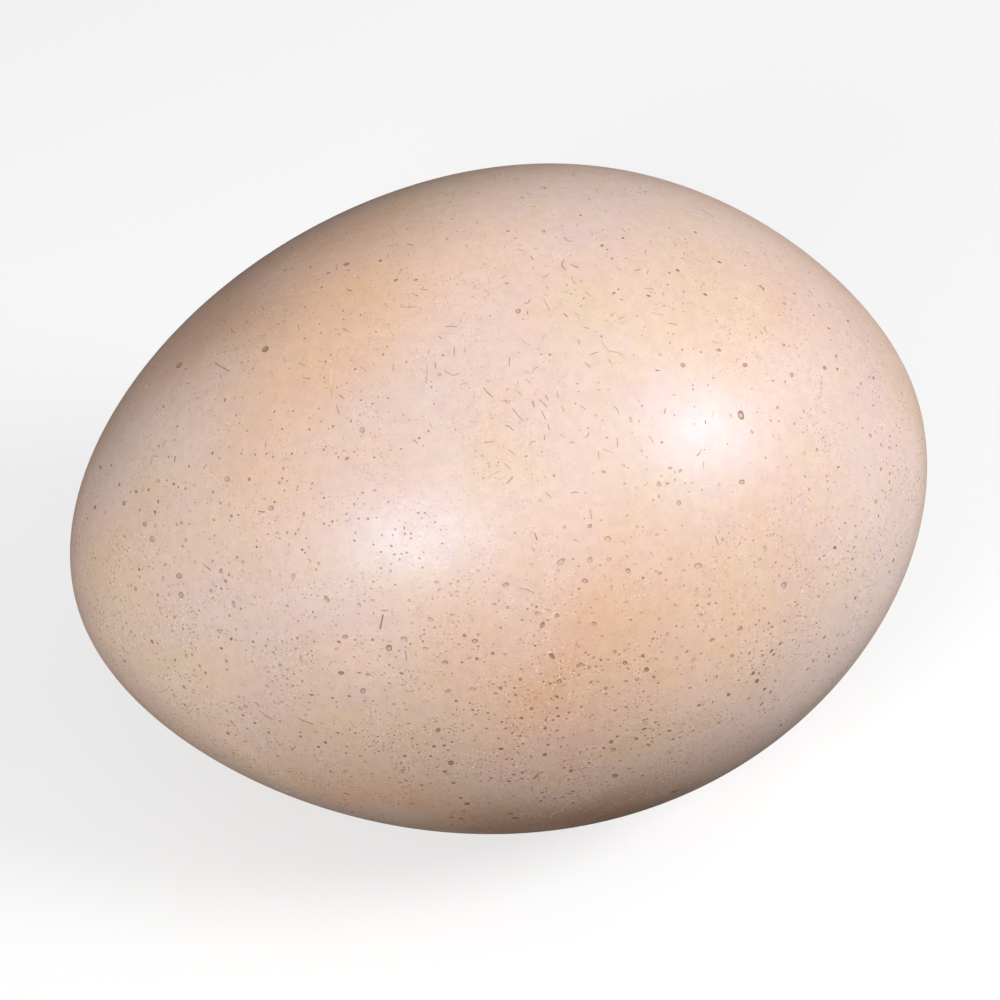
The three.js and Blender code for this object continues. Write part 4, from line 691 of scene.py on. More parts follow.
    (772.6, 636.4, 1.1, 0.6), (766.9, 658.2, 1.0, 1.0), (765.2, 660.4, 0.8, 0.9), (742.7, 613.3, 1.1, 0.5),
    (759.3, 605.5, 1.1, 0.6), (744, 594.3, 1.1, 0.6), (730.2, 594.1, 0.9, 0.7), (730.7, 598.2, 1.2, 0.6),
    (737.3, 605.8, 1.1, 0.6), (731.7, 608.9, 1.3, 0.5), (780.2, 623.2, 0.9, 0.7), (789.9, 632.7, 0.7, 0.8),
    (786.8, 636.4, 0.7, 0.6), (819.5, 618.9, 0.7, 0.7), (831.5, 617, 0.8, 0.6), (822, 640.2, 1.0, 0.9),
    (811.3, 658.4, 0.8, 1.0), (804.7, 655.3, 0.9, 0.9), (801.3, 654.5, 0.8, 0.8), (779.4, 670.1, 1.0, 1.0),
    (775.9, 668.1, 1.0, 0.6), (785.3, 666, 0.9, 0.6), (787.3, 669.1, 0.9, 0.5), (779.2, 655.3, 1.1, 0.8),
    (785, 645.6, 0.8, 0.6), (809.8, 686, 1.0, 0.5), (807.8, 695.1, 1.0, 0.5), (785, 709.6, 0.9, 0.9),
    (775.6, 730.3, 1.1, 0.9), (740.9, 668.1, 1.0, 0.9), (747, 666, 0.9, 0.7), (741.9, 675.7, 1.0, 0.7),
    (757.8, 686.4, 1.0, 0.8), (773.6, 688, 0.9, 0.9), (763.9, 674.2, 0.9, 0.8), (765.9, 668.1, 0.8, 0.9),
    (744.5, 693.3, 0.8, 0.6), (773.1, 709.7, 1.0, 0.6), (853.7, 614, 1.2, 0.4), (861.3, 618, 1.0, 0.6),
    (828.2, 592.2, 1.1, 0.6),
]

rng = np.random.default_rng(61)
clump = waves(5, 0.055)
clump_fine = waves(6, 0.018)
long_way = unit(LAY @ np.array([1.0, 0, 0]))  # the egg's long axis


def fields(p, x, n):
    """How many marks, what share of them strokes, and how large, at points of the shell."""
    up = n[..., 2]
    mid = 1 - np.clip((np.abs(p[..., 0]) - 0.35) / 0.4, 0, 1)
    top = np.clip((up - 0.42) / 0.3, 0, 1)
    strokes = mid * top
    low = np.clip((0.62 - up) / 0.5, 0, 1)
    ends = np.clip((np.abs(p[..., 0]) - 0.55) / 0.35, 0, 1)
    many = 0.40 + 0.45 * low * (1 - 0.25 * ends) + 0.20 * ends + 0.22 * strokes
    many = many * np.clip(1 + 0.30 * clump(x) + 0.30 * clump_fine(x), 0.15, 2.2)
    large = 0.95 + 0.22 * low * (1 - ends) - 0.05 * ends
    return many, strokes, large


# Where every mark that stands out is listed above, fewer are scattered (frame pixels).
LISTED = [
    (560, 600, 720, 760), (130, 530, 290, 690), (740, 440, 900, 600),
    (330, 460, 490, 620), (620, 350, 790, 520),
    (240, 600, 400, 760), (400, 600, 560, 760), (720, 590, 880, 750),
    (460, 330, 620, 490),
    (300, 240, 460, 400),
    (600, 200, 760, 360),
    (460, 200, 620, 360),
    (770, 230, 930, 390),
    (430, 740, 590, 850),
    (80, 390, 240, 550), (240, 400, 460, 560),
]


def in_frame(x):
    """Points of space to frame pixels."""
    d = x - EYE
    z = -(d @ BACK)
    return AIM_X + FOCAL * (d @ RIGHT) / z, AIM_Y - FOCAL * (d @ ABOVE) / z



class Patch:
    """The points that one mark adds to the shell's mesh."""

    __slots__ = ("p", "deep", "d", "tone", "floor", "tilt", "block")

    def __init__(self, p, deep, d, tone, floor, block):
        self.p, self.deep, self.d, self.tone, self.floor, self.block = p, deep, d, tone, floor, block


def frame_at(p):
    n = outward(p)
    a = unit(np.cross(n, np.cross(long_way, n) + 1e-9))
    return shell(p), n, a, np.cross(n, a)


def oval(p0, rx, ry, turn, tone, floor, place=None, wobble=0.09):
    """A pit: an outer ring on the surface, inner rings and a middle pressed in."""
    r = math.sqrt(rx * ry)
    big = r > 0.00085
    n_out = 5 if r < 0.0004 else 6 if r < 0.00055 else 8 if r < 0.0009 else 11
    phase = rng.uniform(0, 2 * np.pi)
    deep = min(0.0003, 0.24 * min(rx, ry) + 0.00003) * (0.8 + 0.4 * rng.random())
    rings = [(1.0, n_out, 0.0, 0.0)]
    if big:
        rings.append((0.66, 8, 0.8, 0.42))
    pts, dp, dd = [], [], []
    for k, (scale, count, press, d) in enumerate(rings):
        t = phase + (np.arange(count) + 0.5 * k) * 2 * np.pi / count
        w = scale * (1 + wobble * np.sin(2 * t + phase) + wobble * 0.6 * rng.normal(size=count))
        cx, cy = rx * w * np.cos(t), ry * w * np.sin(t)
        pts.append(np.stack([cx, cy], -1))
        dp += [press * deep] * count
        dd += [d] * count
    pts.append(np.zeros((1, 2)))
    dp.append(deep)
    dd.append(1.0)
    flat = np.concatenate(pts)
    c, s = math.cos(turn), math.sin(turn)
    flat = flat @ np.array([[c, s], [-s, c]])
    if place is None:
        x0, n, a, b = frame_at(p0)
        sphere = sphere_of(x0 + flat[:, :1] * a + flat[:, 1:] * b)
    else:
        sphere = place(flat)
    return Patch(sphere, np.array(dp), np.array(dd), tone, floor, [(p0, max(rx, ry))])


def stroke(line, half, tone):
    """A fine groove along a line of unit-sphere points, half metres to each side."""
    x = shell(line)
    seg = np.linalg.norm(np.diff(x, axis=0), axis=1)
    along = np.concatenate([[0], np.cumsum(seg)])
    count = max(3, int(round(along[-1] / 0.0010)) + 1)
    at = np.linspace(0, along[-1], count)
    mid = np.stack([np.interp(at, along, x[:, i]) for i in range(3)], -1)
    n = outward(sphere_of(mid))
    side = unit(np.cross(n, np.gradient(mid, axis=0)))
    w = half * rng.uniform(0.7, 1.45, count)[:, None]
    tip = 0.9 * half
    ends = np.stack([mid[0] - unit(mid[1] - mid[0]) * tip, mid[-1] + unit(mid[-1] - mid[-2]) * tip])
    pts = np.concatenate([mid, mid + side * w, mid - side * w, ends])
    deep = 0.0 if tone < 0 else min(0.00009, 0.45 * half)
    dp = np.concatenate([np.full(count, deep), np.zeros(2 * count + 2)])
    dd = np.concatenate([rng.uniform(0.55, 1.0, count), np.zeros(2 * count + 2)])
    sphere = sphere_of(pts)
    block = [(q, half + 0.0004) for q in sphere_of(mid)]
    return Patch(sphere, dp, dd, tone, 0.0, block)


patches = []
taken = []  # (place in space, radius) of what is already on the shell


def free(x, r, gap=0.00012):
    if not taken:
        return True
    return all(np.sum((x - y) ** 2) > (r + s + gap) ** 2 for y, s in taken)


def put(patch):
    patches.append(patch)
    for q, r in patch.block:
        taken.append((shell(q), r))


for x, y, a, b, turn, tone, floor in PITS:
    p0 = seen(x, y)
    if np.isnan(p0).any():
        continue
    edge = seen(
        [x + a * math.cos(math.radians(turn)), x - b * math.sin(math.radians(turn))],
        [y + a * math.sin(math.radians(turn)), y + b * math.cos(math.radians(turn))],
    )
    if np.isnan(edge).any():
        continue
    # the oval is drawn in the frame and laid on the shell along the lines of sight
    scale = 0.347 * MM

    def place(flat, x=x, y=y, turn=turn, scale=scale):
        c, s = math.cos(math.radians(turn)), math.sin(math.radians(turn))
        fx, fy = flat[:, 0] / scale, flat[:, 1] / scale
        return seen(x + fx * c - fy * s, y + fx * s + fy * c)

    made = oval(p0, a * scale, b * scale, 0.0, tone, floor, place)
    if np.isnan(made.p).any():
        continue
    reach = np.linalg.norm(shell(made.p) - shell(p0), axis=1).max()
    made.block = [(p0, reach)]
    if free(shell(p0), reach):
        put(made)

for line, half, tone in STROKES:
    px = np.array(line, float)
    at = seen(px[:, 0], px[:, 1])
    made = stroke(at, 0.72 * half * 0.347 * MM, 0.75 * tone)
    if np.isnan(made.p).any():
        continue
    if all(free(shell(q), r) for q, r in made.block):
        put(made)

for x, y, r, tone in DOTS:
    p0 = seen(x, y)
    half = 0.347 * MM * r
    if not np.isnan(p0).any() and free(shell(p0), half, 0.0001):
        made = oval(p0, half, half * 0.9, rng.uniform(0, np.pi), tone, 0.2, None, 0.12)
        put(made)

print("placed marks", len(patches))

# random marks: rejection against a grid of cells
CELL = 0.004
grid = {}


def cell(x):
    return tuple(np.floor(x / CELL).astype(int))


for x, r in taken:
    grid.setdefault(cell(x), []).append((x, r))


def clear(x, r, gap=0.00028):
    c = cell(x)
    for i in (-1, 0, 1):
        for j in (-1, 0, 1):
            for k in (-1, 0, 1):
                for y, s in grid.get((c[0] + i, c[1] + j, c[2] + k), ()):
                    d = x - y
                    if d[0] * d[0] + d[1] * d[1] + d[2] * d[2] < (r + s + gap) ** 2:
                        return False
    return True


TRIES = 46000
start = unit(rng.normal(size=(TRIES, 3)))
# most marks come in loose groups
groups = unit(rng.normal(size=(1500, 3)))
member = rng.integers(0, len(groups), TRIES)
spread = 0.022 * np.abs(rng.normal(1.0, 0.45, TRIES))[:, None] * rng.normal(size=(TRIES, 3))
start = np.where(rng.random(TRIES)[:, None] < 0.6, unit(groups[member] + spread), start)
sx = shell(start)
sn = outward(start)
many, share, large = fields(start, sx, sn)
fx, fy = in_frame(sx)
facing = (sn * (EYE - sx)).sum(-1) > 0
for x0, y0, x1, y1 in LISTED:
    inside = np.minimum(np.minimum(fx - x0, x1 - fx), np.minimum(fy - y0, y1 - fy))
    many = np.where(facing & (inside > 0), many * np.where(sn[:, 2] > 0.45, 0.16, 0.42), many)
keep = rng.random(TRIES)
kind = rng.random(TRIES)
size = np.exp(rng.normal(0, 0.42, TRIES))
long_by = 1 + np.abs(rng.normal(0, 0.45, TRIES))
heading = rng.uniform(0, 2 * np.pi, TRIES)
leaning = rng.random(TRIES) < 0.45
heading = np.where(leaning, rng.normal(-1.17, 0.35, TRIES), heading)
tones = np.clip(rng.normal(0.56, 0.24, TRIES), 0.12, 1.2) * (1 + 0.35 * np.clip((0.45 - sn[:, 2]) / 0.4, 0, 1))
floors = np.clip(rng.beta(1.6, 1.4, TRIES), 0, 1)
low_z = sx[:, 2] < 0.0015
VERTS_FOR_MARKS = 80000
used = sum(len(q.p) for q in patches)
for i in range(TRIES):
    if used > VERTS_FOR_MARKS:
        break
    if low_z[i] or keep[i] > many[i] * 0.55:
        continue
    p0 = start[i]
    if kind[i] < share[i] * 0.8:
        length = 0.00055 + 0.0009 * rng.random() * size[i]
        half = 0.00014 + 0.00007 * rng.random()
        x0, n, a, b = frame_at(p0)
        t = np.linspace(-1, 1, 5)
        bend = rng.normal(0, 0.22)
        faint = tones[i] * 0.86 if rng.random() < 0.68 else -0.95 * tones[i]
        c, s = math.cos(heading[i]), math.sin(heading[i])
        lx = t * length
        ly = bend * length * (t * t - 0.33)
        pts = x0 + (lx * c - ly * s)[:, None] * a + (lx * s + ly * c)[:, None] * b
        if not all(clear(q, half + 0.0003) for q in pts):
            continue
        made = stroke(sphere_of(pts), half, faint)
    else:
        r = 0.00042 * size[i] * large[i]
        r = min(max(r, 0.00027), 0.0013)
        ry = r / math.sqrt(long_by[i])
        rx = r * math.sqrt(long_by[i])
        if not clear(sx[i], rx):
            continue
        strong = tones[i] * (1.0 if r < 0.0006 else 0.85)
        made = oval(p0, rx, ry, heading[i], strong, floors[i] * (1 if r > 0.0005 else 0.4), None, 0.13)
    patches.append(made)
    for q, r in made.block:
        x = shell(q)
        grid.setdefault(cell(x), []).append((x, r))
    used += len(made.p)
print("marks", len(patches), "their points", used)

# ---- the flat spot's edge and middle ---------------------------------------------------------
south = sphere_of(np.array([0.0, 0.0, -0.0006]))
rim_pts = []
for t in np.linspace(0, 2 * np.pi, 72, endpoint=False):
    way = np.array([math.cos(t), math.sin(t), 0.0])
    a, b = 0.0, 0.03
    for _ in range(40):
        m = (a + b) / 2
        if shell(sphere_of(way * m))[2] < 0:
            a = m
        else:
            b = m
    rim_pts.append(sphere_of(way * a))
rim_pts = np.array(rim_pts)
hub = sphere_of(
    np.stack([0.003 * np.cos(np.arange(12) * np.pi / 6), 0.003 * np.sin(np.arange(12) * np.pi / 6), np.zeros(12)], -1)
)

# ---- plain points between the marks ----------------------------------------------------------
TOTAL = 97300
fill = TOTAL - used - len(rim_pts) - len(hub) - 1
blockers = [(shell(q), r) for patch in patches for q, r in patch.block]
tree = kdtree.KDTree(len(blockers))
for i, (x, r) in enumerate(blockers):
    tree.insert(Vector(x), i)
tree.balance()
block_r = np.array([r for _, r in blockers])
reach = float(block_r.max()) + 0.0006


def spiral(count):
    i = np.arange(count) + 0.5
    z = 1 - 2 * i / count
    t = i * np.pi * (3 - math.sqrt(5))
    return np.stack([z, np.sqrt(1 - z * z) * np.cos(t), np.sqrt(1 - z * z) * np.sin(t)], -1)


def plain(count):
    p = spiral(count)
    x = shell(p)
    ok = np.ones(count, bool)
    for i in range(count):
        for _, j, dist in tree.find_range(Vector(x[i]), reach):
            if dist < block_r[j] + 0.00045:
                ok[i] = False
                break
    near = np.linalg.norm(x[:, :2], axis=1) < 0.03
    low = near & (x[:, 2] < 0.02)
    rx = shell(rim_pts)
    idx = np.where(low)[0]
    d = np.linalg.norm(x[idx][:, None, :2] - rx[None, :, :2], axis=2).min(1)
    hub_d = np.linalg.norm(x[idx][:, :2], axis=1)
    ok[idx[(d < 0.0009) | (hub_d < 0.0042)]] = False
    return p[ok]


guess = int(fill * 1.12)
base = plain(guess)
base = plain(int(guess * fill / len(base)) - 40)
print("plain points", len(base), "of", fill)

P = np.concatenate([q.p for q in patches] + [rim_pts, hub, base])
others = len(P) - used
deep = np.concatenate([q.deep for q in patches] + [np.zeros(others)])
pit = np.zeros((len(P) + 1, 3), np.float32)
pit[:used, 0] = np.concatenate([q.d for q in patches])
pit[:used, 1] = np.concatenate([np.full(len(q.p), q.tone) for q in patches])
pit[:used, 2] = np.concatenate([np.full(len(q.p), q.floor) for q in patches])

# triangles: the unit sphere seen from the flat spot's middle, unrolled to a plane
pole = south
e1 = unit(np.cross(pole, np.array([1.0, 0, 0])))
e2 = np.cross(pole, e1)
h = 1 - P @ pole
flat = np.stack([(P @ e1) / h, (P @ e2) / h], -1)
out = geometry.delaunay_2d_cdt([Vector(v) for v in flat], [], [], 0, 1e-12)
assert len(out[0]) == len(P), "points merged"
back = np.array([o[0] for o in out[3]])
tri = back[np.array(out[2])]
# close the hole round the pole with a fan to a last point
count = {}
for a, b, c in tri:
    for u, v in ((a, b), (b, c), (c, a)):
        count[(u, v)] = count.get((u, v), 0) + 1
border = {u: v for (u, v) in count if (v, u) not in count}
P = np.concatenate([P, pole[None]])
deep = np.append(deep, 0.0)
tri = np.concatenate([tri, np.array([(v, u, len(P) - 1) for u, v in border.items()])])

X = shell(P)
N = outward(P)
X = X - N * deep[:, None]
soft = 0.00006
X[:, 2] = np.where(X[:, 2] > 0.004, X[:, 2], 0.5 * (X[:, 2] + np.sqrt(X[:, 2] ** 2 + soft * soft)))
X[:, 2] = np.maximum(X[:, 2], 0.0)
# all faces outward
a, b, c = X[tri[:, 0]], X[tri[:, 1]], X[tri[:, 2]]
fn = np.cross(b - a, c - a)
wrong = (fn * ((a + b + c) / 3 - UP3)).sum(1) < 0
tri[wrong] = tri[wrong][:, ::-1]

mesh = bpy.data.meshes.new("eggshell")
mesh.vertices.add(len(X))
mesh.vertices.foreach_set("co", X.astype(np.float32).ravel())
mesh.loops.add(len(tri) * 3)
mesh.loops.foreach_set("vertex_index", tri.astype(np.int32).ravel())
mesh.polygons.add(len(tri))
mesh.polygons.foreach_set("loop_start", np.arange(0, len(tri) * 3, 3, dtype=np.int32))
mesh.update(calc_edges=True)
mesh.validate()
mesh.polygons.foreach_set("use_smooth", np.ones(len(tri), bool))
print("points", len(X), "faces", len(mesh.polygons))

# normals: the shell's own on the surface, the true slope inside the larger marks
fn = np.cross(X[tri[:, 1]] - X[tri[:, 0]], X[tri[:, 2]] - X[tri[:, 0]])
vn = np.zeros_like(X)
for k in range(3):
    np.add.at(vn, tri[:, k], fn)
vn = unit(vn)
pressed = deep > 0
flatspot = X[:, 2] < 0.0002
normals = np.where((pressed | flatspot)[:, None], vn, N)
normals[flatspot & ~pressed] = vn[flatspot & ~pressed]
mesh.normals_split_custom_set_from_vertices([tuple(v) for v in normals])

pit_attr = mesh.attributes.new("pit", "FLOAT_VECTOR", "POINT")
pit_attr.data.foreach_set("vector", pit.ravel())

# ---- broad clouding of the shell -------------------------------------------------------------
# Each cloud: where (frame pixels), reach in pixels, a tint and how much of it. Most are the shell's own mottling; the
# brown and grey ones on the rims marked below are painted shade, and the marked pale one is painted light.
TINTS = {
    "brown": (0.84, 0.74, 0.66),
    "orange": (1.00, 0.90, 0.77),
    "peach": (1.02, 0.97, 0.88),
    "olive": (0.98, 0.98, 0.88),
    "lilac": (0.99, 1.00, 1.09),
    "grey": (0.95, 1.00, 1.07),
    "mauve": (1.00, 0.93, 0.92),
    "pale": (1.09, 1.07, 1.04),
}
CLOUDS = [
    # the pointed end's upper flank
    # painted shade: the brown clouds at (200, 330), (250, 280) and (130, 400) darken the upper rim where it turns away
    # from the lamps
    (200, 330, 70, "brown", 0.8), (250, 280, 55, "brown", 0.35), (330, 240, 70, "orange", 0.8),
    (322, 330, 80, "orange", 0.7), (315, 330, 60, "pale", 0.6), (300, 405, 60, "peach", 0.8),
    (278, 500, 60, "orange", 0.45), (385, 290, 70, "peach", 0.8), (385, 285, 60, "pale", 0.7),
    (130, 400, 45, "brown", 0.25), (240, 330, 45, "orange", 0.6), (290, 300, 40, "orange", 0.3),
    # the pointed end
    # painted shade: the grey cloud at (115, 440) and the brown one at (100, 440) darken and cool the pointed end's rim
    (180, 440, 60, "pale", 0.8), (175, 440, 70, "grey", 0.9), (115, 440, 50, "grey", 1.2), (100, 440, 40, "brown", 0.35),
    (105, 600, 60, "olive", 0.8), (150, 625, 30, "mauve", 0.4), (155, 645, 70, "olive", 0.9),
    (222, 590, 70, "lilac", 0.75), (240, 605, 45, "olive", 0.4), (150, 490, 40, "olive", 0.6), (200, 700, 60, "pale", 0.6),
    # painted light: the strong pale cloud at (240, 755) brightens the lower-left rim as if light bounced up onto it
    # from the left
    (200, 690, 60, "olive", 0.5), (240, 755, 60, "pale", 1.9), (250, 670, 40, "lilac", 0.4),
    # underside of the visible flank
    (320, 640, 70, "lilac", 0.9), (342, 665, 28, "pale", 0.7), (330, 720, 60, "olive", 0.6), (335, 725, 60, "pale", 0.5),
    (355, 790, 60, "orange", 0.8), (350, 785, 60, "pale", 0.8), (435, 800, 60, "orange", 0.9),
    # painted shade: the brown clouds at (500, 822), (585, 818) and (655, 798) darken the bottom rim, which is turned
    # from the lamps
    (450, 735, 50, "olive", 0.5), (500, 822, 60, "brown", 1.0), (585, 818, 75, "brown", 1.5),
    (655, 798, 55, "brown", 0.8), (540, 742, 55, "mauve", 1.0),
    # the warm middle
    (520, 690, 62, "orange", 0.95), (585, 655, 85, "orange", 0.78), (645, 615, 60, "orange", 0.55), (700, 587, 40, "orange", 0.45), (420, 672, 38, "orange", 0.5),
    (600, 560, 60, "mauve", 0.5), (680, 685, 60, "pale", 0.6), (740, 645, 60, "pale", 0.6),
    (745, 640, 60, "mauve", 0.3), (762, 720, 60, "pale", 0.7), (762, 720, 55, "lilac", 1.0),
    (645, 735, 50, "olive", 0.6),
    # the blunt end
    (850, 600, 80, "lilac", 0.7), (870, 395, 80, "lilac", 0.6), (852, 468, 40, "grey", 0.5), (860, 345, 50, "lilac", 0.8),
    (800, 400, 60, "grey", 0.2), (645, 490, 50, "grey", 0.5), (780, 300, 45, "mauve", 0.9), (780, 300, 45, "brown", 0.15),
    (700, 320, 70, "olive", 1.0), (690, 250, 50, "olive", 0.7), (600, 212, 70, "lilac", 1.1),
    (590, 325, 50, "olive", 0.9), (540, 322, 40, "olive", 0.5), (640, 288, 38, "lilac", 0.5),
    # the top and the middle
    (470, 255, 70, "pale", 1.1), (535, 240, 60, "pale", 0.5), (430, 225, 60, "peach", 0.5), (440, 245, 50, "grey", 0.5), (520, 250, 40, "grey", 0.5),
    (500, 340, 80, "lilac", 0.85), (430, 410, 70, "grey", 0.8), (400, 370, 40, "orange", 0.25), (600, 400, 70, "grey", 0.7),
    (515, 440, 45, "olive", 1.1), (470, 485, 40, "olive", 0.5), (510, 520, 50, "grey", 0.25), (520, 178, 50, "olive", 0.5),
    (350, 470, 45, "lilac", 0.5),
]

tint = np.ones((len(X), 3))
warp = np.stack([waves(s, 0.05)(X) for s in (11, 12, 13)], -1) * 0.004
for x, y, r, name, amount in CLOUDS:
    c = shell(seen(x, y))
    d = np.linalg.norm(X + warp - c, axis=1) / (r * 0.347 * MM)
    w = (np.exp(-0.5 * (d * 1.5) ** 2) * amount)[:, None]
    tint *= 1 + w * (np.array(TINTS[name]) - 1)
tint_attr = mesh.attributes.new("tint", "FLOAT_COLOR", "POINT")
# how strongly the finest specks show: more towards the ends and the lower flank
lie = 0.62 + 0.78 * np.clip((0.62 - N[:, 2]) / 0.75, 0, 1) * np.clip(1.1 - 0.3 * np.abs(P[:, 0]), 0, 1)
lie = lie + 0.20 * np.clip((np.abs(P[:, 0]) - 0.45) / 0.3, 0, 1)
# painted highlight: the finest specks show less round the right highlight and the middle, as if washed out by the glare
# there
highlight_washout = np.linalg.norm(X - shell(seen(650, 430)), axis=1) / (125 * 0.347 * MM)
lie = lie * (1 - 0.60 * np.exp(-(highlight_washout**2)))
tint_attr.data.foreach_set(
    "color", np.concatenate([tint, lie[:, None]], 1).astype(np.float32).ravel()
)

# ---- a map for the loops: six sides, each laid flat with a margin ----------------------------
mid = unit(P[tri].mean(1))
axis = np.argmax(np.abs(mid), axis=1)
sign = np.take_along_axis(mid, axis[:, None], 1)[:, 0] > 0
face = axis * 2 + sign
v = P[tri]
uv = np.zeros((len(tri), 3, 2))
for f in range(6):
    m = face == f
    k = f // 2
    i, j = [(1, 2), (2, 0), (0, 1)][k]
    q = v[m]
    w = np.abs(q[..., k])
    s = np.arctan(q[..., i] / w) / (np.pi / 4)
    t = np.arctan(q[..., j] / w) / (np.pi / 4)
    col, row = f % 3, f // 3
    uv[m, :, 0] = (col + 0.5 + 0.478 * s) / 3
    uv[m, :, 1] = (row + 0.5 + 0.484 * t) / 2
layer = mesh.uv_layers.new(name="OFBake")
layer.data.foreach_set("uv", uv.astype(np.float32).ravel())

egg = bpy.data.objects.new("egg_shell", mesh)
scene.collection.objects.link(egg)
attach(egg, "root")
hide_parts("egg")


# ---- materials -------------------------------------------------------------------------------
class Nodes:
    """Short names for building a node tree."""

    def __init__(self, tree):
        self.tree = tree

    def new(self, kind, **values):
        node = self.tree.nodes.new(kind)
        for key, value in values.items():
            setattr(node, key, value)
        return node

    def link(self, a, b):
        self.tree.links.new(a, b)

    def math(self, op, a, b=None, c=None, clamp=False):
        node = self.new("ShaderNodeMath", operation=op, use_clamp=clamp)
        for i, value in enumerate((a, b, c)):
            if value is None:
                continue
            if isinstance(value, (int, float)):
                node.inputs[i].default_value = value
            else:
                self.link(value, node.inputs[i])
        return node.outputs[0]

    def ramp(self, value, low, high, to_low=0.0, to_high=1.0, smooth=True):
        node = self.new("ShaderNodeMapRange", interpolation_type="SMOOTHSTEP" if smooth else "LINEAR")
        self.link(value, node.inputs["Value"])
        for key, number in (("From Min", low), ("From Max", high), ("To Min", to_low), ("To Max", to_high)):
            node.inputs[key].default_value = number
        return node.outputs[0]

    def mix(self, factor, a, b, kind="MIX"):
        node = self.new("ShaderNodeMix", data_type="RGBA", blend_type=kind)
        for socket, value in ((node.inputs[0], factor), (node.inputs[6], a), (node.inputs[7], b)):
            if isinstance(value, (int, float)):
                socket.default_value = value
            elif isinstance(value, tuple):
                socket.default_value = (*value, 1.0)
            else:
                self.link(value, socket)
        return node.outputs[2]

    def noise(self, where, scale, detail=2.0, rough=0.5, distort=0.0):
        node = self.new("ShaderNodeTexNoise")
        self.link(where, node.inputs["Vector"])
        node.inputs["Scale"].default_value = scale
        node.inputs["Detail"].default_value = detail
        node.inputs["Roughness"].default_value = rough
        node.inputs["Distortion"].default_value = distort
        return node.outputs["Fac"]


material = bpy.data.materials.new("eggshell")
material.use_nodes = True
tree = material.node_tree
tree.nodes.clear()
g = Nodes(tree)
output = g.new("ShaderNodeOutputMaterial")
bsdf = g.new("ShaderNodeBsdfPrincipled")
g.link(bsdf.outputs[0], output.inputs[0])
where = g.new("ShaderNodeTexCoord").outputs["Object"]

tint_node = g.new("ShaderNodeAttribute", attribute_name="tint")
tint_in, lively = tint_node.outputs["Color"], tint_node.outputs["Alpha"]
pit_in = g.new("ShaderNodeAttribute", attribute_name="pit").outputs["Vector"]
split = g.new("ShaderNodeSeparateXYZ")
g.link(pit_in, split.inputs[0])
depth, tone, floor_pale = split.outputs

BASE = (0.868, 0.651, 0.532)
colour = g.mix(1.0, BASE, tint_in, "MULTIPLY")

# clouding: a pinkish and a yellowish noise, and a light and dark one
pink = g.ramp(g.noise(where, 28.0, 3.0, 0.55, 0.4), 0.42, 0.68)
colour = g.mix(g.math("MULTIPLY", pink, 0.55), colour, g.mix(1.0, colour, (0.985, 0.935, 0.955), "MULTIPLY"))
yellow_where = g.new("ShaderNodeMapping")
yellow_where.inputs["Location"].default_value = (3.1, 1.7, 5.2)
g.link(where, yellow_where.inputs["Vector"])
yellow = g.ramp(g.noise(yellow_where.outputs[0], 24.0, 3.0, 0.55, 0.4), 0.45, 0.70)
colour = g.mix(g.math("MULTIPLY", yellow, 0.6), colour, g.mix(1.0, colour, (1.0, 0.985, 0.87), "MULTIPLY"))
blush = g.ramp(g.noise(yellow_where.outputs[0], 115.0, 2.0, 0.5), 0.3, 0.7)
colour = g.mix(blush, g.mix(1.0, colour, (1.0, 0.985, 0.955), "MULTIPLY"), g.mix(1.0, colour, (1.0, 0.98, 1.005), "MULTIPLY"))
flecks = g.ramp(g.noise(yellow_where.outputs[0], 340.0, 2.0, 0.55), 0.34, 0.66)
colour = g.mix(flecks, g.mix(1.0, colour, (0.989, 1.0, 0.965), "MULTIPLY"), g.mix(1.0, colour, (1.009, 0.982, 1.012), "MULTIPLY"))
fine = g.noise(where, 260.0, 3.0, 0.6)
colour = g.mix(g.ramp(fine, 0.35, 0.65), g.mix(1.0, colour, (0.965, 0.96, 0.955), "MULTIPLY"), g.mix(1.0, colour, (1.025, 1.025, 1.02), "MULTIPLY"))


def specks(where, scale, seed, radius_low, radius_high, share):
    """Round specks: 1 inside, 0 outside, in a share of the cells."""
    shift = g.new("ShaderNodeMapping")
    shift.inputs["Location"].default_value = (seed * 1.37, seed * 0.71, seed * 2.13)
    g.link(where, shift.inputs["Vector"])
    cells = g.new("ShaderNodeTexVoronoi", feature="F1")
    cells.inputs["Scale"].default_value = scale
    cells.inputs["Randomness"].default_value = 1.0
    g.link(shift.outputs[0], cells.inputs["Vector"])
    chance = g.new("ShaderNodeSeparateXYZ")
    g.link(cells.outputs["Color"], chance.inputs[0])
    inside = g.ramp(cells.outputs["Distance"], radius_low, radius_high, 1.0, 0.0)
    chosen = g.ramp(chance.outputs[0], 1 - share, 1 - share + 0.03)
    strength = g.ramp(chance.outputs[1], 0.0, 1.0, 0.35, 1.0, False)
    return g.math("MULTIPLY", g.math("MULTIPLY", inside, chosen), strength)


BROWN = (0.37, 0.20, 0.12)
patchy = g.ramp(g.noise(where, 60.0, 2.0, 0.5), 0.35, 0.65, 0.25, 1.0)
patchy = g.math("MULTIPLY", patchy, lively)
DARK = (0.385, 0.208, 0.145)
# the pale specks are painted glints: tiny highlights of the glossy shell put into its colour
PAINTED_GLINT = (1.0, 0.84, 0.74)
for scale, seed, low, high, share, strength, shade in (
    (420.0, 1.0, 0.10, 0.26, 0.55, 0.50, DARK),
    (780.0, 2.0, 0.14, 0.34, 0.55, 0.90, DARK),
    # the next two rows are the pale specks, painted glints
    (380.0, 4.0, 0.08, 0.24, 0.50, 0.75, PAINTED_GLINT),
    (820.0, 7.0, 0.14, 0.36, 0.75, 1.00, PAINTED_GLINT),
):
    spots = g.math("MULTIPLY", specks(where, scale, seed, low, high, share), patchy)
    colour = g.mix(g.math("MULTIPLY", spots, strength), colour, shade)

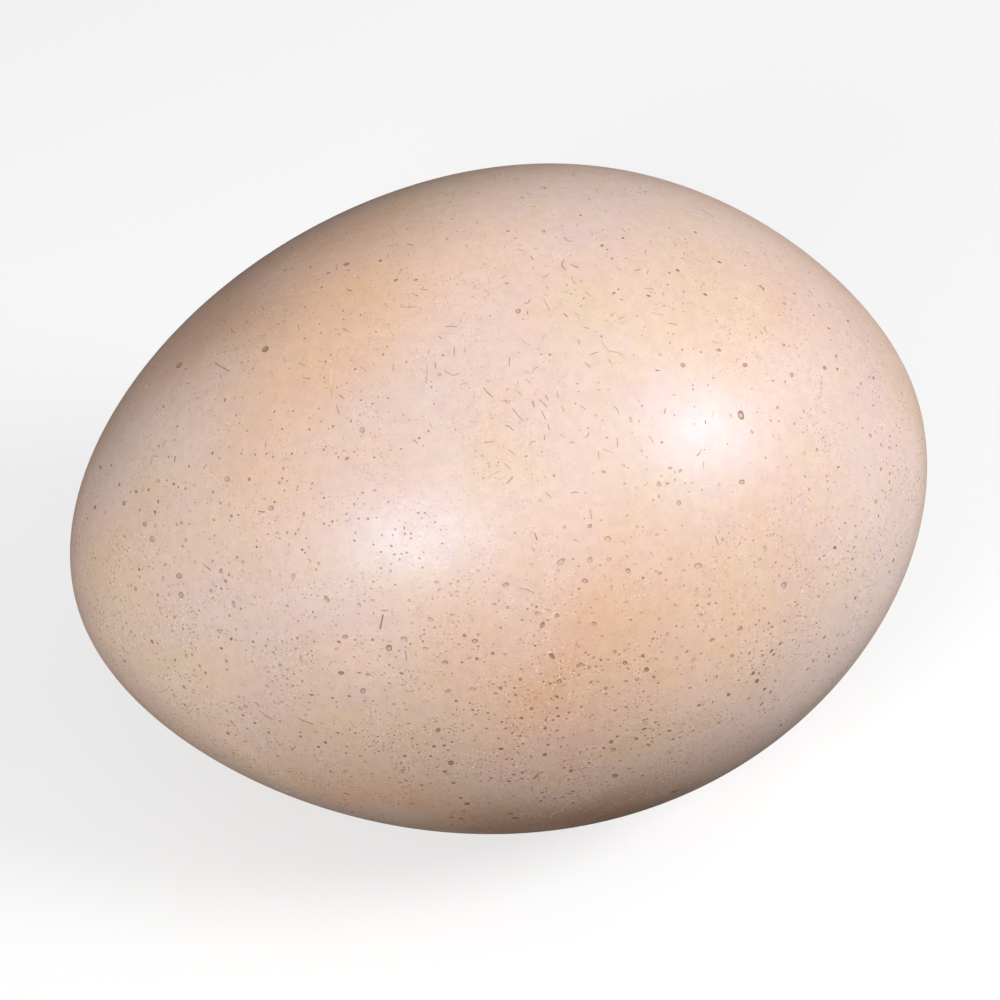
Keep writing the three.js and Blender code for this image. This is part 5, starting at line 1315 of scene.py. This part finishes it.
# pits: a dark rim, and a floor that is paler in some; strokes below 0 are paler than the shell
whole = g.ramp(depth, 0.02, 0.24)
pale_floor = g.math("MULTIPLY", g.ramp(depth, 0.34, 0.66), floor_pale)
stain = g.math("SUBTRACT", whole, g.math("MULTIPLY", pale_floor, 0.85), clamp=True)
amount = g.math("MULTIPLY", stain, g.math("MAXIMUM", tone, 0.0), clamp=True)
colour = g.mix(amount, colour, BROWN)
colour = g.mix(g.math("MULTIPLY", pale_floor, 0.5), colour, g.mix(1.0, colour, (0.98, 0.90, 0.84), "MULTIPLY"))
fade = g.math("MULTIPLY", whole, g.math("MAXIMUM", g.math("MULTIPLY", tone, -1.0), 0.0), clamp=True)
colour = g.mix(fade, colour, (0.95, 0.90, 0.85))
g.link(colour, bsdf.inputs["Base Color"])

# gloss: softly polished, duller in the pits and in the stains
gloss = g.ramp(g.noise(where, 90.0, 3.0, 0.6), 0.3, 0.7, 0.35, 0.41)
gloss = g.math("ADD", gloss, g.math("MULTIPLY", whole, 0.25), clamp=True)
g.link(gloss, bsdf.inputs["Roughness"])
bsdf.inputs["IOR"].default_value = 1.5
bsdf.inputs["Specular IOR Level"].default_value = 0.80
bsdf.inputs["Specular Tint"].default_value = (0.42, 0.68, 1.0, 1.0)

# relief finer than the mesh
relief = g.math("MULTIPLY", depth, -0.00014)
relief = g.math("ADD", relief, g.math("MULTIPLY", g.noise(where, 900.0, 2.0, 0.55), 0.000045))
relief = g.math("ADD", relief, g.math("MULTIPLY", g.noise(where, 95.0, 2.0, 0.5), 0.00010))
bump = g.new("ShaderNodeBump")
bump.inputs["Strength"].default_value = 1.0
bump.inputs["Distance"].default_value = 1.0
g.link(relief, bump.inputs["Height"])
g.link(bump.outputs[0], bsdf.inputs["Normal"])
mesh.materials.append(material)

# ---- floor -----------------------------------------------------------------------------------
SIDE = 30.0
floor_mesh = bpy.data.meshes.new("floor")
floor_mesh.from_pydata(
    [(-SIDE, -SIDE, 0), (SIDE, -SIDE, 0), (SIDE, SIDE, 0), (-SIDE, SIDE, 0)], [], [(0, 1, 2, 3)]
)
floor = bpy.data.objects.new("floor", floor_mesh)
floor.location.z = -0.0002
scene.collection.objects.link(floor)
floor.visible_diffuse = False
floor.visible_glossy = False
floor.visible_shadow = False
paper = bpy.data.materials.new("floor")
paper.use_nodes = True
paper.node_tree.nodes.clear()
f = Nodes(paper.node_tree)
diffuse = f.new("ShaderNodeBsdfDiffuse")
diffuse.inputs[0].default_value = (0.45, 0.45, 0.45, 1)
glow = f.new("ShaderNodeEmission")
glow.inputs[0].default_value = (1, 1, 1, 1)
glow.inputs[1].default_value = 0.60
add = f.new("ShaderNodeAddShader")
f.link(diffuse.outputs[0], add.inputs[0])
f.link(glow.outputs[0], add.inputs[1])
clear_below = f.new("ShaderNodeBsdfTransparent")
side = f.new("ShaderNodeNewGeometry")
both = f.new("ShaderNodeMixShader")
f.link(side.outputs["Backfacing"], both.inputs[0])
f.link(add.outputs[0], both.inputs[1])
f.link(clear_below.outputs[0], both.inputs[2])
f.link(both.outputs[0], f.new("ShaderNodeOutputMaterial").inputs[0])
floor_mesh.materials.append(paper)

# ---- light -----------------------------------------------------------------------------------
def lamp(name, way, distance, size, power, colour=(1.0, 1.0, 1.0)):
    """A round soft light. way is in the camera's terms: right, up, towards the camera."""
    v = unit(np.array(way, float))
    way3 = v[0] * RIGHT + v[1] * ABOVE + v[2] * BACK
    data = bpy.data.lights.new(name, "AREA")
    data.shape = "DISK"
    data.size = size
    data.energy = power
    data.color = colour
    o = bpy.data.objects.new(name, data)
    o.location = UP3 + way3 * distance
    o.rotation_mode = "QUATERNION"
    o.rotation_quaternion = Vector(way3).to_track_quat("Z", "Y")
    o.visible_camera = False
    scene.collection.objects.link(o)
    return o


lamp("key_right", (0.708, 0.302, 0.638), 1.6, 0.62, 13.0)
lamp("key_left", (-0.365, -0.182, 0.915), 1.6, 0.48, 11.1)
lamp("fill_front", (0.04, 0.09, 0.99), 1.6, 1.7, 4.7)
lamp("fill_left", (-0.85, -0.14, 0.52), 1.6, 1.7, 3.95)
lamp("low_left", (-0.84, -0.53, -0.11), 1.6, 1.7, 4.1)
lamp("side_right", (0.92, 0.37, -0.07), 1.6, 1.7, 2.3)
lamp("low_right", (0.85, -0.23, -0.47), 1.6, 1.7, 6.7)
lamp("back_right", (0.31, 0.84, -0.45), 1.6, 1.7, 2.9)
lamp("high_right", (0.71, 0.58, 0.40), 1.6, 1.7, 5.8)
lamp("high_left", (-0.30, 0.80, 0.50), 1.6, 1.7, 2.7)
lamp("rim_left", (-0.80, 0.58, -0.12), 1.6, 1.7, 0.2)

world = bpy.data.worlds.new("studio")
scene.world = world
world.use_nodes = True
world.node_tree.nodes.clear()
w = Nodes(world.node_tree)
path = w.new("ShaderNodeLightPath")
dim = w.new("ShaderNodeBackground")
dim.inputs[0].default_value = (1, 1, 1, 1)
dim.inputs[1].default_value = 0.02
bright = w.new("ShaderNodeBackground")
bright.inputs[0].default_value = (0.93, 0.93, 0.93, 1)
bright.inputs[1].default_value = 1.0
pick = w.new("ShaderNodeMixShader")
w.link(path.outputs["Is Camera Ray"], pick.inputs[0])
w.link(dim.outputs[0], pick.inputs[1])
w.link(bright.outputs[0], pick.inputs[2])
w.link(pick.outputs[0], w.new("ShaderNodeOutputWorld").inputs[0])

scene.view_settings.view_transform = "Standard"
scene.view_settings.look = "None"
scene.view_settings.exposure = 0.0
scene.view_settings.gamma = 1.0
